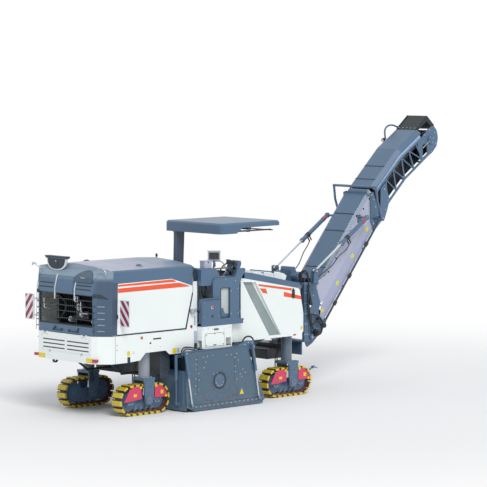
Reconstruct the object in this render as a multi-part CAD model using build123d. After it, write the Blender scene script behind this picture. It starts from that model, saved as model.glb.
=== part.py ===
from build123d import *
from math import atan2, ceil, cos, degrees, hypot, pi, radians, sin
import os

os.makedirs("parts", exist_ok=True)

# Cold planer on four steered crawler legs, in millimetres.
# X runs forward from the rear track centres, Y to the left, Z up from the ground.
# ORIGIN_X moves the finished pieces, so that the origin lies under the middle of the machine.
ORIGIN_X = 3980.0

# Driving sizes of the machine
WHEELBASE = 4030.0
GAUGE = 1700.0
BODY_HALF = GAUGE / 2 + 260.0
BODY_REAR = -1240.0
SKIN = 5.0
SEAM = 10.0
RUN_GAP = 6.0
FIT_GAP = 0.3

# Lashing eyes
LASH_R = 28.0
LASH_Y = 515.0
LASH_REAR = (-1070.0, 1062.0)
LASH_FRONT = (4366.0, 890.0)

# Crawler track and its leg
TRACK_LONG = 1330.0
TRACK_WIDE = 260.0
TRACK_TALL = 620.0
SHOE_THICK = 42.0
CHAIN_THICK = 46.0
SHOE_COUNT = 20
HUB_AHEAD = 70.0
COLUMN_AHEAD_REAR = 90.0
COLUMN_AHEAD_FRONT = 36.0
HUB_Z = 290.0
HUB_R = 48.0
COLUMN_R = 115.0
COLUMN_BASE_Z = 740.0
COLUMN_TOP_Z = 1560.0
SLEEVE_R = COLUMN_R + 38.0
SLEEVE_BASE_Z = 1285.0
SLEEVE_TOP_Z = 1600.0

# Hood and lower body
SEAM_Z = 1645.0
SKIRT_Z = 1100.0
HOOD_EDGE_Z = 2930.0
HOOD_RIDGE_Z = 3025.0
HOOD_FRONT_X = 1180.0
DOOR_TOP_Z = 2700.0
HOOD_PIVOT = (-1253.0, 1650.0)
HINGE_R = 10.0
HINGE_Y = (-600.0, 600.0)

# Operator platform
FLOOR_Z = 1770.0
FLOOR_THICK = 30.0
SIDE_WALL_THICK = 40.0
PLATFORM_HALF = BODY_HALF + 140.0
BULKHEAD_X = 1200.0
PLATFORM_FRONT_X = 2480.0

# Canopy
ROOF_REAR_X = 2180.0
ROOF_FRONT_X = 3900.0
ROOF_HALF = 870.0
ROOF_TOP_Z = 3700.0
POST_Y = 575.0

# Milling unit, flush with the right side
DRUM_X = 1685.0
DRUM_Z = 575.0
CUT_R = 490.0
DRUM_TUBE_R = 360.0
DRUM_WIDE = 1000.0
DRUM_RIGHT_Y = -BODY_HALF - 175.0
DRUM_LEFT_Y = DRUM_RIGHT_Y + DRUM_WIDE
HOUSING_WALL = 16.0
SIDE_PLATE_OUT_Y = DRUM_RIGHT_Y - 61.0
SIDE_PLATE_THICK = 22.0
PLATE_SLOPE = 9.6

# Discharge conveyor: slew axis, foot pivot, fold pivot and the belt line
SLEW_X = 4780.0
FOOT = (5170.0, 1120.0)
FOLD = (7400.0, 3560.0)
RAIL_HALF = 400.0
RAIL_R = 26.0
PLATE_IN = RAIL_HALF - 13.4
PLATE_OUT = RAIL_HALF + 14.0
COVER_OUT = PLATE_IN - FIT_GAP
CYL_LOW = (5159.0, 2546.0)
CYL_HIGH = (6752.0, 3611.0)
CYL_Y = 600.0
BARREL_R = 48.0
ROD_R = 22.0


def block(x0, x1, y0, y1, z0, z1):
    """A box between two corners."""
    return Pos((x0 + x1) / 2, (y0 + y1) / 2, (z0 + z1) / 2) * Box(x1 - x0, y1 - y0, z1 - z0)


def turned(points):
    """The points in anticlockwise order."""
    area = sum(a[0] * b[1] - b[0] * a[1] for a, b in zip(points, points[1:] + points[:1]))
    return points if area > 0 else points[::-1]


def side_cut(points, y0, y1, r=0.0):
    """A plate whose outline is drawn from the side, as X and Z, from y0 to y1, its corners cut back by r."""
    outline = Polygon(*turned(points), align=None)
    if r:
        outline = chamfer(outline.vertices(), r)
    return extrude(Plane.XZ.offset(-y1) * outline, amount=y1 - y0)


def end_cut(points, x0, x1):
    """A bar whose outline is drawn from behind, as Y and Z, from x0 to x1."""
    return extrude(Plane.YZ.offset(x0) * Polygon(*turned(points), align=None), amount=x1 - x0)


def plan_cut(points, z0, z1):
    """A bar whose outline is drawn from above, as X and Y, from z0 to z1."""
    return extrude(Plane.XY.offset(z0) * Polygon(*turned(points), align=None), amount=z1 - z0)


def bar(p, q, r, sides=16):
    """A bar between two points, drawn with flats."""
    a, b = Vector(*p), Vector(*q)
    return extrude(Plane(origin=a, z_dir=b - a) * RegularPolygon(r, sides), amount=(b - a).length)


def bore(x, z, y0, y1, r):
    """A true round hole across the machine, for a pin that turns in it."""
    return Plane(origin=(x, y0, z), z_dir=(0, 1, 0)) * Cylinder(r, y1 - y0, align=(Align.CENTER, Align.CENTER, Align.MIN))


def tube_run(points, r):
    """An eight-sided tube along a run of points, with mitred corners."""
    start = Plane(origin=points[0], z_dir=Vector(*points[1]) - Vector(*points[0]))
    return sweep(start * RegularPolygon(r, 8), path=Polyline(*points), transition=Transition.RIGHT)


def flat(p, q, wide, y0, y1):
    """A flat bar between two points of the side view."""
    run = hypot(q[0] - p[0], q[1] - p[1])
    ax, az = -(q[1] - p[1]) / run * wide / 2, (q[0] - p[0]) / run * wide / 2
    return side_cut([(p[0] + ax, p[1] + az), (q[0] + ax, q[1] + az), (q[0] - ax, q[1] - az), (p[0] - ax, p[1] - az)], y0, y1)


def roll(x, z, y0, y1, r, sides=12):
    """A roller, cap or pin across the machine, drawn with flats."""
    return extrude(Plane.XZ.offset(-y1) * Pos(x, z) * RegularPolygon(r, sides), amount=y1 - y0)


def disc(x, z0, z1, r, sides=20):
    """A level disc on the centre line, drawn with flats."""
    return extrude(Plane.XY.offset(z0) * Pos(x, 0) * RegularPolygon(r, sides), amount=z1 - z0)


def both(shape):
    """The piece and its mirror image across the centre line."""
    return [shape, mirror(shape, about=Plane.XZ)]


def save(node, pieces):
    """Moves the finished solids to the machine's origin and writes them as one node."""
    if not isinstance(pieces, (list, tuple)):
        pieces = [pieces]
    solids = []
    for piece in pieces:
        solids.extend((Pos(-ORIGIN_X, 0, 0) * piece).solids())
    export_step(Compound(children=solids), f"parts/{node}.step")


# Crawler tracks: a closed loop of shoes on a chain, a frame with idlers and rollers,
# covers over both ends, and a leg whose fork straddles the track.
END_R = TRACK_TALL / 2
END_X = TRACK_LONG / 2 - END_R
CHAIN_R = END_R - SHOE_THICK
BAND_R = CHAIN_R - CHAIN_THICK
IDLER_R = BAND_R - 12.0
ROLLER_R = 58.0
ROLLER_Z = END_R - BAND_R + FIT_GAP + ROLLER_R * cos(pi / 10)
SHOE_PITCH = (4 * END_X + 2 * pi * CHAIN_R) / SHOE_COUNT


def loop_point(s, r):
    """A point of the loop at a distance s along the chain, on the outline whose end radius is r."""
    straight, arc = 2 * END_X, pi * CHAIN_R
    s = s % (2 * straight + 2 * arc)
    if s < straight:
        return -END_X + s, END_R - r
    s -= straight
    if s < arc:
        return END_X + r * sin(s / CHAIN_R), END_R - r * cos(s / CHAIN_R)
    s -= arc
    if s < straight:
        return END_X - s, END_R + r
    s -= straight
    return -END_X - r * sin(s / CHAIN_R), END_R + r * cos(s / CHAIN_R)


def track_shoes():
    """Shoes with a raised bar, on the straight links of the chain that they are bolted to."""
    outer = [loop_point(n * SHOE_PITCH, CHAIN_R) for n in range(SHOE_COUNT)]
    inner = [loop_point(n * SHOE_PITCH, BAND_R) for n in range(SHOE_COUNT)]
    ring = side_cut(outer, -65, 65) - side_cut(inner, -66, 66)
    long, lift = SHOE_PITCH * 0.84, SHOE_THICK
    profile = [(-long / 2, -4), (long / 2, -4), (long / 2, lift * 0.55), (long * 0.30, lift), (-long * 0.30, lift),
               (-long / 2, lift * 0.55)]
    shoe = side_cut(profile, -TRACK_WIDE / 2, TRACK_WIDE / 2)
    for (x0, z0), (x1, z1) in zip(outer, outer[1:] + outer[:1]):
        turn = 180 - degrees(atan2(z1 - z0, x1 - x0))
        ring = ring + Pos((x0 + x1) / 2, 0, (z0 + z1) / 2) * Rot(0, turn, 0) * shoe
    return ring


def track_frame(side):
    """Beam with both idlers, the support rollers and the two end covers on the outer side."""
    beam = side_cut([(-300, 150), (-250, 118), (250, 118), (300, 150), (300, 300), (200, 380), (-200, 380), (-300, 300)],
                    -52, 52)
    body = beam
    for x in (-END_X, END_X):
        body = body + roll(x, END_R, -46, 46, IDLER_R, 20) + roll(x, END_R, -72, 72, 150) + roll(x, END_R, -84, 84, 60, 8)
    for n in range(4):
        body = body + roll(-210 + 140 * n, ROLLER_Z, -60, 60, ROLLER_R, 10)
    body = body - roll(HUB_AHEAD, HUB_Z, -60, 60, HUB_R + 2 * FIT_GAP)
    out = side * TRACK_WIDE / 2
    inner, outer = sorted((out + side * 4, out + side * 14))
    rear = side_cut([(-560, 290), (-420, 520), (-330, 575), (-110, 590), (-95, 330)], inner, outer, 14)
    front = side_cut([(245, 330), (255, 590), (380, 580), (500, 500), (575, 400), (570, 330)], inner, outer, 14)
    stay_in, stay_out = sorted((side * 50, out + side * 4))
    for x, plate in ((-250, rear), (400, front)):
        body = body + plate + block(x - 45, x + 45, stay_in, stay_out, 395, 440)
        body = body + block(x - 45, x + 45, -52, 52, 300, 440)
    return body


def leg(ahead):
    """Steering column with the fork plate, the two arms and the hub pin."""
    column = bar((ahead, 0, COLUMN_BASE_Z - 1), (ahead, 0, COLUMN_TOP_Z), COLUMN_R, 28)
    top = block(ahead - 165, HUB_AHEAD + 150, -184, 184, COLUMN_BASE_Z - 50, COLUMN_BASE_Z)
    arm_outline = [(-60, COLUMN_BASE_Z - 40), (205, COLUMN_BASE_Z - 40), (190, 420), (165, 235), (110, 195), (30, 195),
                   (-25, 235), (-50, 420)]
    arms = side_cut(arm_outline, -184, -150) + side_cut(arm_outline, 150, 184)
    pin = roll(HUB_AHEAD, HUB_Z, -192, 192, HUB_R)
    caps = roll(HUB_AHEAD, HUB_Z, -198, -184, 74) + roll(HUB_AHEAD, HUB_Z, 184, 198, 74)
    return column + top + arms + pin + caps


# name, axle, side, distance of the steering column ahead of the track's centre
LEGS = [("rear_right", 0.0, -1, COLUMN_AHEAD_REAR), ("rear_left", 0.0, 1, COLUMN_AHEAD_REAR),
        ("front_right", WHEELBASE, -1, COLUMN_AHEAD_FRONT), ("front_left", WHEELBASE, 1, COLUMN_AHEAD_FRONT)]
shoes = track_shoes()
for name, x, side, ahead in LEGS:
    place = Pos(x, side * GAUGE / 2, 0)
    save(f"track_shoes_{name}", place * shoes)
    save(f"track_frame_{name}", place * track_frame(side))
    save(f"leg_{name}", place * leg(ahead))

# Main frame: two side members with the rear lashing eyes, and the cross members welded between and over them.
RAIL_IN, RAIL_OUT = 470.0, 560.0
RAIL_BASE_Z, RAIL_TOP_Z = 1330.0, 1600.0
EYE = [(-1130, 1400), (-1130, 1040), (-1100, 1010), (-1040, 1010), (-1010, 1040), (-1010, 1400)]
rails = []
for side in (-1, 1):
    y0, y1 = sorted((side * RAIL_IN, side * RAIL_OUT))
    y = side * LASH_Y
    rail = block(-1130, 4330, y0, y1, RAIL_BASE_Z, RAIL_TOP_Z) + side_cut(EYE, y - 18, y + 18)
    rails.append(rail - bore(LASH_REAR[0], LASH_REAR[1], y - 30, y + 30, LASH_R))
save("main_frame", rails)
crosses = [block(-1130, -1060, -RAIL_IN, RAIL_IN, RAIL_BASE_Z, RAIL_TOP_Z)]
for x0, x1 in ((-60, 200), (3880, 4000)):
    crosses.append(block(x0, x1, -RAIL_OUT, RAIL_OUT, RAIL_TOP_Z, 1680))
save("frame_cross_members", crosses)

# Crossheads: a box beam beside each side member, with the sleeve of a steering column at its end.
CROSS_OUT = GAUGE / 2 + COLUMN_R + 25.0
SLEEVE_SHAPE = [(1, -0.45), (1, 0.45), (0.45, 1), (-0.45, 1), (-1, 0.45), (-1, -0.45), (-0.45, -1), (0.45, -1)]
crossheads = []
for name, x, side, ahead in LEGS:
    centre, y = x + ahead, side * GAUGE / 2
    y0, y1 = sorted((side * RAIL_OUT, side * CROSS_OUT))
    sleeve = plan_cut([(centre + SLEEVE_R * a, y + SLEEVE_R * b) for a, b in SLEEVE_SHAPE], SLEEVE_BASE_Z, SLEEVE_TOP_Z)
    head = block(centre - SLEEVE_R - 14, centre + SLEEVE_R + 14, y0, y1, RAIL_BASE_Z + 10, RAIL_TOP_Z - 10) + sleeve
    crossheads.append(head - bar((centre, y, 1200), (centre, y, 1700), COLUMN_R + 1.0, 28))
save("column_crossheads", crossheads)

# Belly box between the rear legs and the drum, hung from the side members.
frame_boxes = [block(400, 650, -CROSS_OUT, CROSS_OUT, 700, RAIL_BASE_Z)]

# Outriggers that carry the skin, from the side members out to the panel or cabinet.
# first X, last X, distance of the outer end inside the body's side, lower Z, upper Z
OUTRIGGERS = [(-900, -840, SKIN, 1400, 1460), (900, 960, SKIN, 1400, 1460), (1320, 1380, 60.0, 1420, 1480),
              (2440, 2480, SKIN, 1420, 1480), (3640, 3700, SKIN, 1430, 1490)]
for x0, x1, inside, z0, z1 in OUTRIGGERS:
    frame_boxes.extend(both(block(x0, x1, -BODY_HALF + inside, -RAIL_OUT, z0, z1)))

# Ballast box under the slew support, between the front legs.
BALLAST = [(3907, 440), (4500, 440), (4700, 230)]
frame_boxes.append(plan_cut([(x, -y) for x, y in BALLAST] + BALLAST[::-1], 745, 950))
save("frame_boxes", frame_boxes)

# Lower body: one white wrap around the rear and both sides, with arches over the rear legs.


def wrap_outline(inset, front):
    """The body's outline from above, moved inwards by the skin."""
    half = BODY_HALF - inset
    right = [(front, -half), (-970.0 + inset * 0.41, -half), (-1180.0 + inset, -900.0 + inset * 0.41)]
    right = right + [(BODY_REAR + inset, -800.0 + inset * 0.3)]
    left = [(x, -y) for x, y in reversed(right)]
    return right + left


ARCH = [(-1400, 900), (-1400, SKIRT_Z), (-526, SKIRT_Z), (-105, 1258), (437, 1264), (539, 1180), (1600, 1180), (1600, 900)]
WRAP_FRONT = 1290.0
lower = plan_cut(wrap_outline(0, WRAP_FRONT), SKIRT_Z, SEAM_Z) - plan_cut(wrap_outline(SKIN, WRAP_FRONT + 50), 1000, 1700)
lower = lower - side_cut(ARCH, -1300, 1300)
for y0, y1 in ((-BODY_HALF, -BODY_HALF + SKIN), (BODY_HALF - SKIN, BODY_HALF)):
    post = side_cut([(985 + SEAM, SEAM_Z - 20), (1182, 2350), (1182, 2600), (WRAP_FRONT, 2600), (WRAP_FRONT, SEAM_Z - 20)],
                    y0, y1)
    lower = lower + post
for y in HINGE_Y:
    for y0, y1 in ((y - 80, y - 40.3), (y + 40.3, y + 80)):
        lower = lower + roll(HOOD_PIVOT[0], HOOD_PIVOT[1], y0, y1, HINGE_R)
        lower = lower + block(HOOD_PIVOT[0] - 4, BODY_REAR + 2, y0, y1, 1610, 1638)
        lower = lower + block(HOOD_PIVOT[0] - 4, HOOD_PIVOT[0] + 4, y0, y1, 1630, 1650)
vent_hole = block(-1300, -1200, -700, 700, 1425, 1575)
lower = lower - vent_hole
for y in (-895, 895):
    lower = lower - block(-1260, -1160, y - 60, y + 60, 1140, 1196)
save("lower_body_panels", lower)

vent = block(-1236, -1228, -699.7, 699.7, 1425.3, 1574.7)
for row in range(3):
    for y in (-350, 350):
        z = 1450 + 50 * row
        vent = vent - block(-1250, -1220, y - 300, y + 300, z - 12, z + 12)
lamps = [block(-1252, -1200, y - 59.7, y + 59.7, 1140.3, 1195.7) for y in (-895, 895)]
save("rear_vent_and_lamps", [vent] + lamps)

# Engine and cooler: one plain block each, at their real places behind the grille.
engine = block(-620, 620, -420, 420, 1680, 2420) + block(-800, -700, -700, 700, 1720, 2560)
engine = engine + block(-700, -620, -300, 300, 1800, 2300)
save("engine_block", engine)

# Hood: a one-piece lid with a moulded rear, white side panels and a slate top.
HOOD_BASE = SEAM_Z + SEAM
HOOD_SPLIT_X = -960.0
REAR_PROFILE = [(-940, HOOD_BASE), (-1240, HOOD_BASE), (-1216, 2543), (-1154, 2782), (-1050, 2880), (-940, 2940)]
REAR_INSIDE = [(-900, HOOD_BASE - 50), (-1220, HOOD_BASE - 50), (-1196, 2540), (-1136, 2770), (-1040, 2862), (-900, 2930)]
shell = plan_cut(wrap_outline(0, HOOD_SPLIT_X), HOOD_BASE, 2990) & side_cut(REAR_PROFILE, -1200, 1200)
core = plan_cut(wrap_outline(18, -880.0), HOOD_BASE - 60, 2990) & side_cut(REAR_INSIDE, -1200, 1200)
shell = shell - core
shell = shell - block(-1300, -1050, -820, 820, 1815, 2440)
for y in (-560, -330, 330, 560):
    shell = shell - block(-1300, -1150, y - 90, y + 90, 2520, 2560)
for y in HINGE_Y:
    shell = shell + roll(HOOD_PIVOT[0], HOOD_PIVOT[1], y - 40, y + 40, HINGE_R)
    shell = shell + block(HOOD_PIVOT[0] - 4, -1230, y - 40, y + 40, HOOD_BASE + 1, HOOD_BASE + 20)
    shell = shell + block(HOOD_PIVOT[0] - 4, HOOD_PIVOT[0] + 4, y - 40, y + 40, HOOD_PIVOT[1], HOOD_BASE + 20)
save("hood_rear_shell", shell)

bars = None
grille_x0, grille_x1 = -1212.0, -1192.0
for n in range(5):
    z = 1880 + 120 * n
    piece = block(grille_x0, grille_x1, -815, 815, z - 16, z + 16)
    bars = piece if bars is None else bars + piece
for y in (-815, -330, 330, 815):
    bars = bars + block(grille_x0, grille_x1, y - 14 if y < 800 else y - 28, y + 14 if y > -800 else y + 28, 1790, 2460)
bars = bars & block(-1230, -1180, -819.7, 819.7, 1815.3, 2439.7)
save("hood_grille", bars)

panel = side_cut([(HOOD_SPLIT_X, HOOD_BASE), (978, HOOD_BASE), (1170, 2350), (1170, DOOR_TOP_Z), (HOOD_SPLIT_X, DOOR_TOP_Z)],
                 -BODY_HALF, -BODY_HALF + SKIN)
save("hood_side_panels", both(panel))

TOP = [(-BODY_HALF, DOOR_TOP_Z), (-BODY_HALF, HOOD_EDGE_Z - 30), (-BODY_HALF + 40, HOOD_EDGE_Z), (-560, 2995),
       (0, HOOD_RIDGE_Z), (560, 2995), (BODY_HALF - 40, HOOD_EDGE_Z), (BODY_HALF, HOOD_EDGE_Z - 30),
       (BODY_HALF, DOOR_TOP_Z)]
INNER = [(BODY_HALF - SKIN, DOOR_TOP_Z), (BODY_HALF - SKIN, HOOD_EDGE_Z - 34), (BODY_HALF - 44, HOOD_EDGE_Z - 10),
         (560, 2985), (0, HOOD_RIDGE_Z - 10), (-560, 2985), (-BODY_HALF + 44, HOOD_EDGE_Z - 10),
         (-BODY_HALF + SKIN, HOOD_EDGE_Z - 34), (-BODY_HALF + SKIN, DOOR_TOP_Z)]
top = end_cut(TOP + INNER, HOOD_SPLIT_X, HOOD_FRONT_X - 10)
save("hood_top_panel", top)

hood_bulk = plan_cut(wrap_outline(0, HOOD_FRONT_X), HOOD_BASE - 60, 3000)
plates = []
for x, y0, y1, reach in ((-762, -BODY_HALF - 283, -BODY_HALF, -1100), (-1140, BODY_HALF - 35, BODY_HALF + 248, 900)):
    board = block(x - 6, x, y0, y1, 1835, 2355)
    a, b = sorted((reach, (y0 + y1) / 2))
    for z in (1930, 2260):
        board = board + block(x, x + 24, a, b, z - 20, z + 20)
    plates.append(board - hood_bulk)
save("warning_plates", plates)

# Operator platform: floor, guarded sides with a window, bulkhead, consoles, seat and wheel.
FLOOR_BASE = FLOOR_Z - FLOOR_THICK
FLOOR_HALF = PLATFORM_HALF - SIDE_WALL_THICK
floor = block(BULKHEAD_X, 2495, -FLOOR_HALF, FLOOR_HALF, FLOOR_BASE, FLOOR_Z)
floor = floor - block(BULKHEAD_X - 10, WRAP_FRONT + 5, -PLATFORM_HALF - 5, -BODY_HALF + SKIN + 4, 1700, 1800)
floor = floor - block(BULKHEAD_X - 10, WRAP_FRONT + 5, BODY_HALF - SKIN - 4, PLATFORM_HALF + 5, 1700, 1800)
for x in (1400, 2300):
    floor = floor + block(x - 60, x + 60, -RAIL_OUT, RAIL_OUT, RAIL_TOP_Z, FLOOR_BASE)
floor = floor + block(BULKHEAD_X, BULKHEAD_X + 12, -BODY_HALF + 15, BODY_HALF - 15, FLOOR_Z, 2900)
save("platform_floor", floor)

# Each side is one pressing: tray rim, box behind the operator's leg, window posts and the arch over the window.
SIDE_WALL = [(1302, 1680), (2436, 1680), (2436, 1775), (2335, 1790), (2335, 2484), (2412, 2632), (2507, 2764), (2480, 2805),
             (2287, 2815), (2240, 2660), (2200, 2640), (1660, 2640), (1600, 2560), (1600, 2240), (1302, 2240)]
WINDOW = (1810, 2060, 1830, 2430)
wall_out, wall_in = -PLATFORM_HALF, -FLOOR_HALF
wall = side_cut(SIDE_WALL, wall_out, wall_in)
wall = wall - block(WINDOW[0], WINDOW[1], wall_out - 10, wall_in + 10, WINDOW[2], WINDOW[3])
box_front = side_cut([(1312, FLOOR_Z), (1590, FLOOR_Z), (1590, 2200), (1560, 2230), (1312, 2230)], wall_in, wall_in + 70)
box_front = box_front - side_cut([(1324, FLOOR_Z + 10), (1578, FLOOR_Z + 10), (1578, 2210), (1324, 2210)], wall_in + 8, wall_in + 71)
save("platform_side_walls", both(wall + box_front))

WHEEL_HUB = (2431.0, 2756.0)
WHEEL_LEAN = (-0.766, 0.643)
WHEEL_R = 186.0
WHEEL_Y = -770.0
CONSOLE = [(1310, 2500), (1310, 2850), (1640, 2850), (1760, 2800), (1830, 2660), (2230, 2650), (2230, 2580), (1900, 2500)]
console = side_cut(CONSOLE, wall_in, wall_in + 210, 12)
console = console - side_cut([(1330, 2490), (1330, 2800), (1630, 2800), (1740, 2760), (1800, 2610), (1800, 2490)], wall_in + 15,
                             wall_in + 195)
POD = [(2380, FLOOR_Z), (2380, 2440), (2520, 2600), (2590, 2860), (2610, 2925), (2680, 2925), (2700, 2860), (2640, 2720),
       (2605, 2705), (2605, 2560), (2490, 2400), (2490, FLOOR_Z)]
pod = side_cut(POD, WHEEL_Y - 150, WHEEL_Y + 150, 8)
column_low = (WHEEL_HUB[0] - 170 * WHEEL_LEAN[0], WHEEL_Y, WHEEL_HUB[1] - 170 * WHEEL_LEAN[1])
column_high = (WHEEL_HUB[0] - 15.3 * WHEEL_LEAN[0], WHEEL_Y, WHEEL_HUB[1] - 15.3 * WHEEL_LEAN[1])
pod = pod + bar(column_low, column_high, 22)
SCREEN = (1762.0, wall_in + 105, 3085.0)
screen = Pos(*SCREEN) * Rot(0, 0, 45) * Box(40, 250, 185)
screen = screen + bar((1740, SCREEN[1], 2790), (SCREEN[0], SCREEN[1], SCREEN[2] - 80), 18)
save("operator_consoles", [console + screen, pod, mirror(console, about=Plane.XZ)])

seat = block(1500, 1920, -230, 230, 2210, 2310) + side_cut([(1500, 2300), (1560, 2300), (1470, 2830), (1400, 2830)], -220, 220)
seat = seat + block(1620, 1800, -130, 130, FLOOR_Z, 2210)
save("operator_seat", seat)

# Canopy: moulded roof shell on one post.
post = side_cut([(2190, FLOOR_Z), (2430, FLOOR_Z), (2400, 2500), (2440, 3450), (2220, 3450), (2200, 2500)], POST_Y - 45, POST_Y + 45)
head = side_cut([(2220, 3450), (2440, 3450), (3300, 3520), (3300, 3560), (2220, 3560)], POST_Y - 60, POST_Y + 60)
for x0, x1, z0 in ((2300, 2380, 3500), (3200, 3280, 3520)):
    head = head + block(x0, x1, -POST_Y - 25, POST_Y + 60, z0, 3560)
save("canopy_post", post + head)
roof = block(ROOF_REAR_X, ROOF_FRONT_X, -ROOF_HALF, ROOF_HALF, 3480, ROOF_TOP_Z)
roof = fillet(roof.edges().filter_by(Axis.Z), 110)
roof = chamfer(roof.faces().sort_by(Axis.Z)[-1].edges(), 34)
BROW = [(2100, 3480), (2620, 3480), (2780, 3590), (4000, 3600), (4000, 3800), (2100, 3800)]
roof = roof & side_cut(BROW, -ROOF_HALF - 10, ROOF_HALF + 10)
hollow = block(ROOF_REAR_X + 14, ROOF_FRONT_X - 14, -ROOF_HALF + 14, ROOF_HALF - 14, 3400, ROOF_TOP_Z - 40)
hollow = fillet(hollow.edges().filter_by(Axis.Z), 96)
roof = roof - hollow
for x0, x1 in ((2300, 2380), (3200, 3280)):
    roof = roof + block(x0, x1, -POST_Y - 25, POST_Y + 60, 3560, ROOF_TOP_Z - 39)
save("canopy_roof", roof)

# Side cabinets below the platform, with a step in the side face and one in the rear face
CABINET_REAR, CABINET_FRONT = WRAP_FRONT + RUN_GAP, 2119.0
CABINET_BASE_Z = 1225.0
cabinet = block(CABINET_REAR, CABINET_FRONT, -PLATFORM_HALF, -BODY_HALF + 60, CABINET_BASE_Z, 1680 - FIT_GAP)
cabinet = cabinet - block(CABINET_REAR + 160, CABINET_FRONT - 10, -PLATFORM_HALF + 150, -BODY_HALF + 80, CABINET_BASE_Z + 12, 1668)
cabinet = cabinet - block(1954, 2094, -PLATFORM_HALF - 10, -PLATFORM_HALF + 140, 1270, 1418)
cabinet = cabinet - block(CABINET_REAR - 10, CABINET_REAR + 140, -PLATFORM_HALF + 12, -PLATFORM_HALF + 132, 1250, 1400)
save("service_cabinets", both(cabinet))

LOAD_RIGHT, LOAD_LEFT = -400.0, 300.0

# Front side panels with the slanted recess, and the deck over the conveyor intake
FRONT = [(CABINET_FRONT + RUN_GAP, 1284), (4235, 1284), (4309, 1365), (4309, 1741), (4209, 2233), (4150, 2280), (2690, 2557),
         (2500, 2590), (2500, 1672), (CABINET_FRONT + RUN_GAP, 1672)]
RECESS = [(2565, 2500), (2920, 2480), (3655, 1340), (3280, 1340)]
RECESS_RIM = [(2545, 2512), (2932, 2492), (3680, 1325), (3262, 1325)]
RECESS_DEEP = 60.0
front = side_cut(FRONT, -BODY_HALF, -BODY_HALF + SKIN)
front = front + side_cut(RECESS_RIM, -BODY_HALF + SKIN, -BODY_HALF + RECESS_DEEP + SKIN)
front = front - side_cut(RECESS, -BODY_HALF - 10, -BODY_HALF + RECESS_DEEP)
save("front_side_panels", both(front))

deck = side_cut([(2690, 2557), (4150, 2280), (4215, 2377), (2790, 2680), (2612, 2700), (2612, 2570.6)], -BODY_HALF, BODY_HALF)
DECK_HOLLOW = [(2600, 2500), (4300, 2200), (4300, 2340), (2790, 2664), (2590, 2684), (2590, 2500)]
deck = deck - side_cut(DECK_HOLLOW, -BODY_HALF + 20, BODY_HALF - 20)
nose = plan_cut([(4222, -900), (4480, -420), (4480, 420), (4222, 900)], 1645, 2200)
nose = nose - plan_cut([(4210, -890), (4471, -414), (4471, 414), (4210, 890)], 1600, 2191)
for y in (-1, 1):
    nose = nose - block(4239.7, 4322.3, y * 500 - 20.3, y * 500 + 20.3, 1500, 2300)
nose = nose - block(4100, 4900, LOAD_RIGHT - 8, LOAD_LEFT + 8, 1500, 1765)
nose = nose + block(4212, 4224, -890, 890, 2191, 2300) + block(4190, 4224, -890, 890, 2288, 2300)
save("front_deck", [deck, nose])

# Milling unit: housing, drum with helical cutting picks, side plates and the rear blade
H0, H1 = DRUM_RIGHT_Y - 28, DRUM_LEFT_Y + 28
OUTER = [(1060, 320), (1060, 1010), (1230, 1172), (2180, 1172), (2320, 1010), (2320, 700), (2290, 320)]
housing = side_cut(OUTER, H0, H1)
housing = housing - roll(DRUM_X, DRUM_Z, H0 + HOUSING_WALL, H1 - HOUSING_WALL, CUT_R + 40, 36)
housing = housing - block(1160, 2210, H0 + HOUSING_WALL, H1 - HOUSING_WALL, 250, DRUM_Z)
housing = housing - block(2150, 2400, H0 + 350, H1 - HOUSING_WALL, 480, 1000)
for x in (1300, 2060):
    housing = housing + block(x - 50, x + 50, -RAIL_OUT + 4, -RAIL_IN - 4, 1172, 1330)
for y0, y1 in ((H0, H0 + HOUSING_WALL), (H1 - HOUSING_WALL, H1)):
    housing = housing + side_cut([(826, 320), (826, 1060), (1060, 1120), (1070, 320)], y0, y1)
housing = housing + side_cut([(690, 1150), (690, 1232), (2650, 1232), (2650, 1150), (2200, 1100), (1060, 1080)], H0, H0 + HOUSING_WALL)
SCRAPER_Y = (H0 + 213, H1 - 223)
for y in SCRAPER_Y:
    housing = housing + block(725, 1240, y - 12, y + 12, 1090, 1155) + bar((725, y, 640), (725, y, 1152), 34)
    housing = housing - bar((725, y, 600), (725, y, 1140), 16 + FIT_GAP)
# bracket plates that hold the front and rear lift cylinders of the right side plate
housing = housing + side_cut([(2060, 1172), (2060, 1100), (2340, 1060), (2480, 1120), (2687, 1190), (2672, 1310), (2466, 1326),
                              (2140, 1190)], H0 - 6, H0 + HOUSING_WALL)
housing = housing + roll(DRUM_X, DRUM_Z, H0, H0 + 70, 150) + roll(DRUM_X, DRUM_Z, H1 - 70, H1, 150)

TUBE0, TUBE1 = DRUM_RIGHT_Y + 60, DRUM_LEFT_Y - 60
drum = roll(DRUM_X, DRUM_Z, TUBE0, TUBE1, DRUM_TUBE_R, 36)
for y0, y1 in ((TUBE0 - 1, TUBE0 + 120), (TUBE1 - 120, TUBE1 + 1)):
    drum = drum - roll(DRUM_X, DRUM_Z, y0, y1, 300, 18)
drum = drum + roll(DRUM_X, DRUM_Z, H0 + 70.3, H1 - 70.3, 90)
picks = []
PICKS = 36
for n in range(PICKS):
    y = TUBE0 + 30 + (TUBE1 - TUBE0 - 60) * (n / (PICKS - 1))
    half = (DRUM_LEFT_Y + DRUM_RIGHT_Y) / 2
    turn = 3 * 360 * abs(y - half) / 500 + (180 if y > half else 0)
    holder = side_cut([(-60, DRUM_TUBE_R - 12), (55, DRUM_TUBE_R - 12), (45, 425), (34, 440), (42, 476), (12, 456), (-40, 420)],
                      -24, 24)
    picks.append(Pos(DRUM_X, y, DRUM_Z) * Rot(0, turn, 0) * holder)
drum = drum + picks
save("milling_drum", drum)

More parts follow.
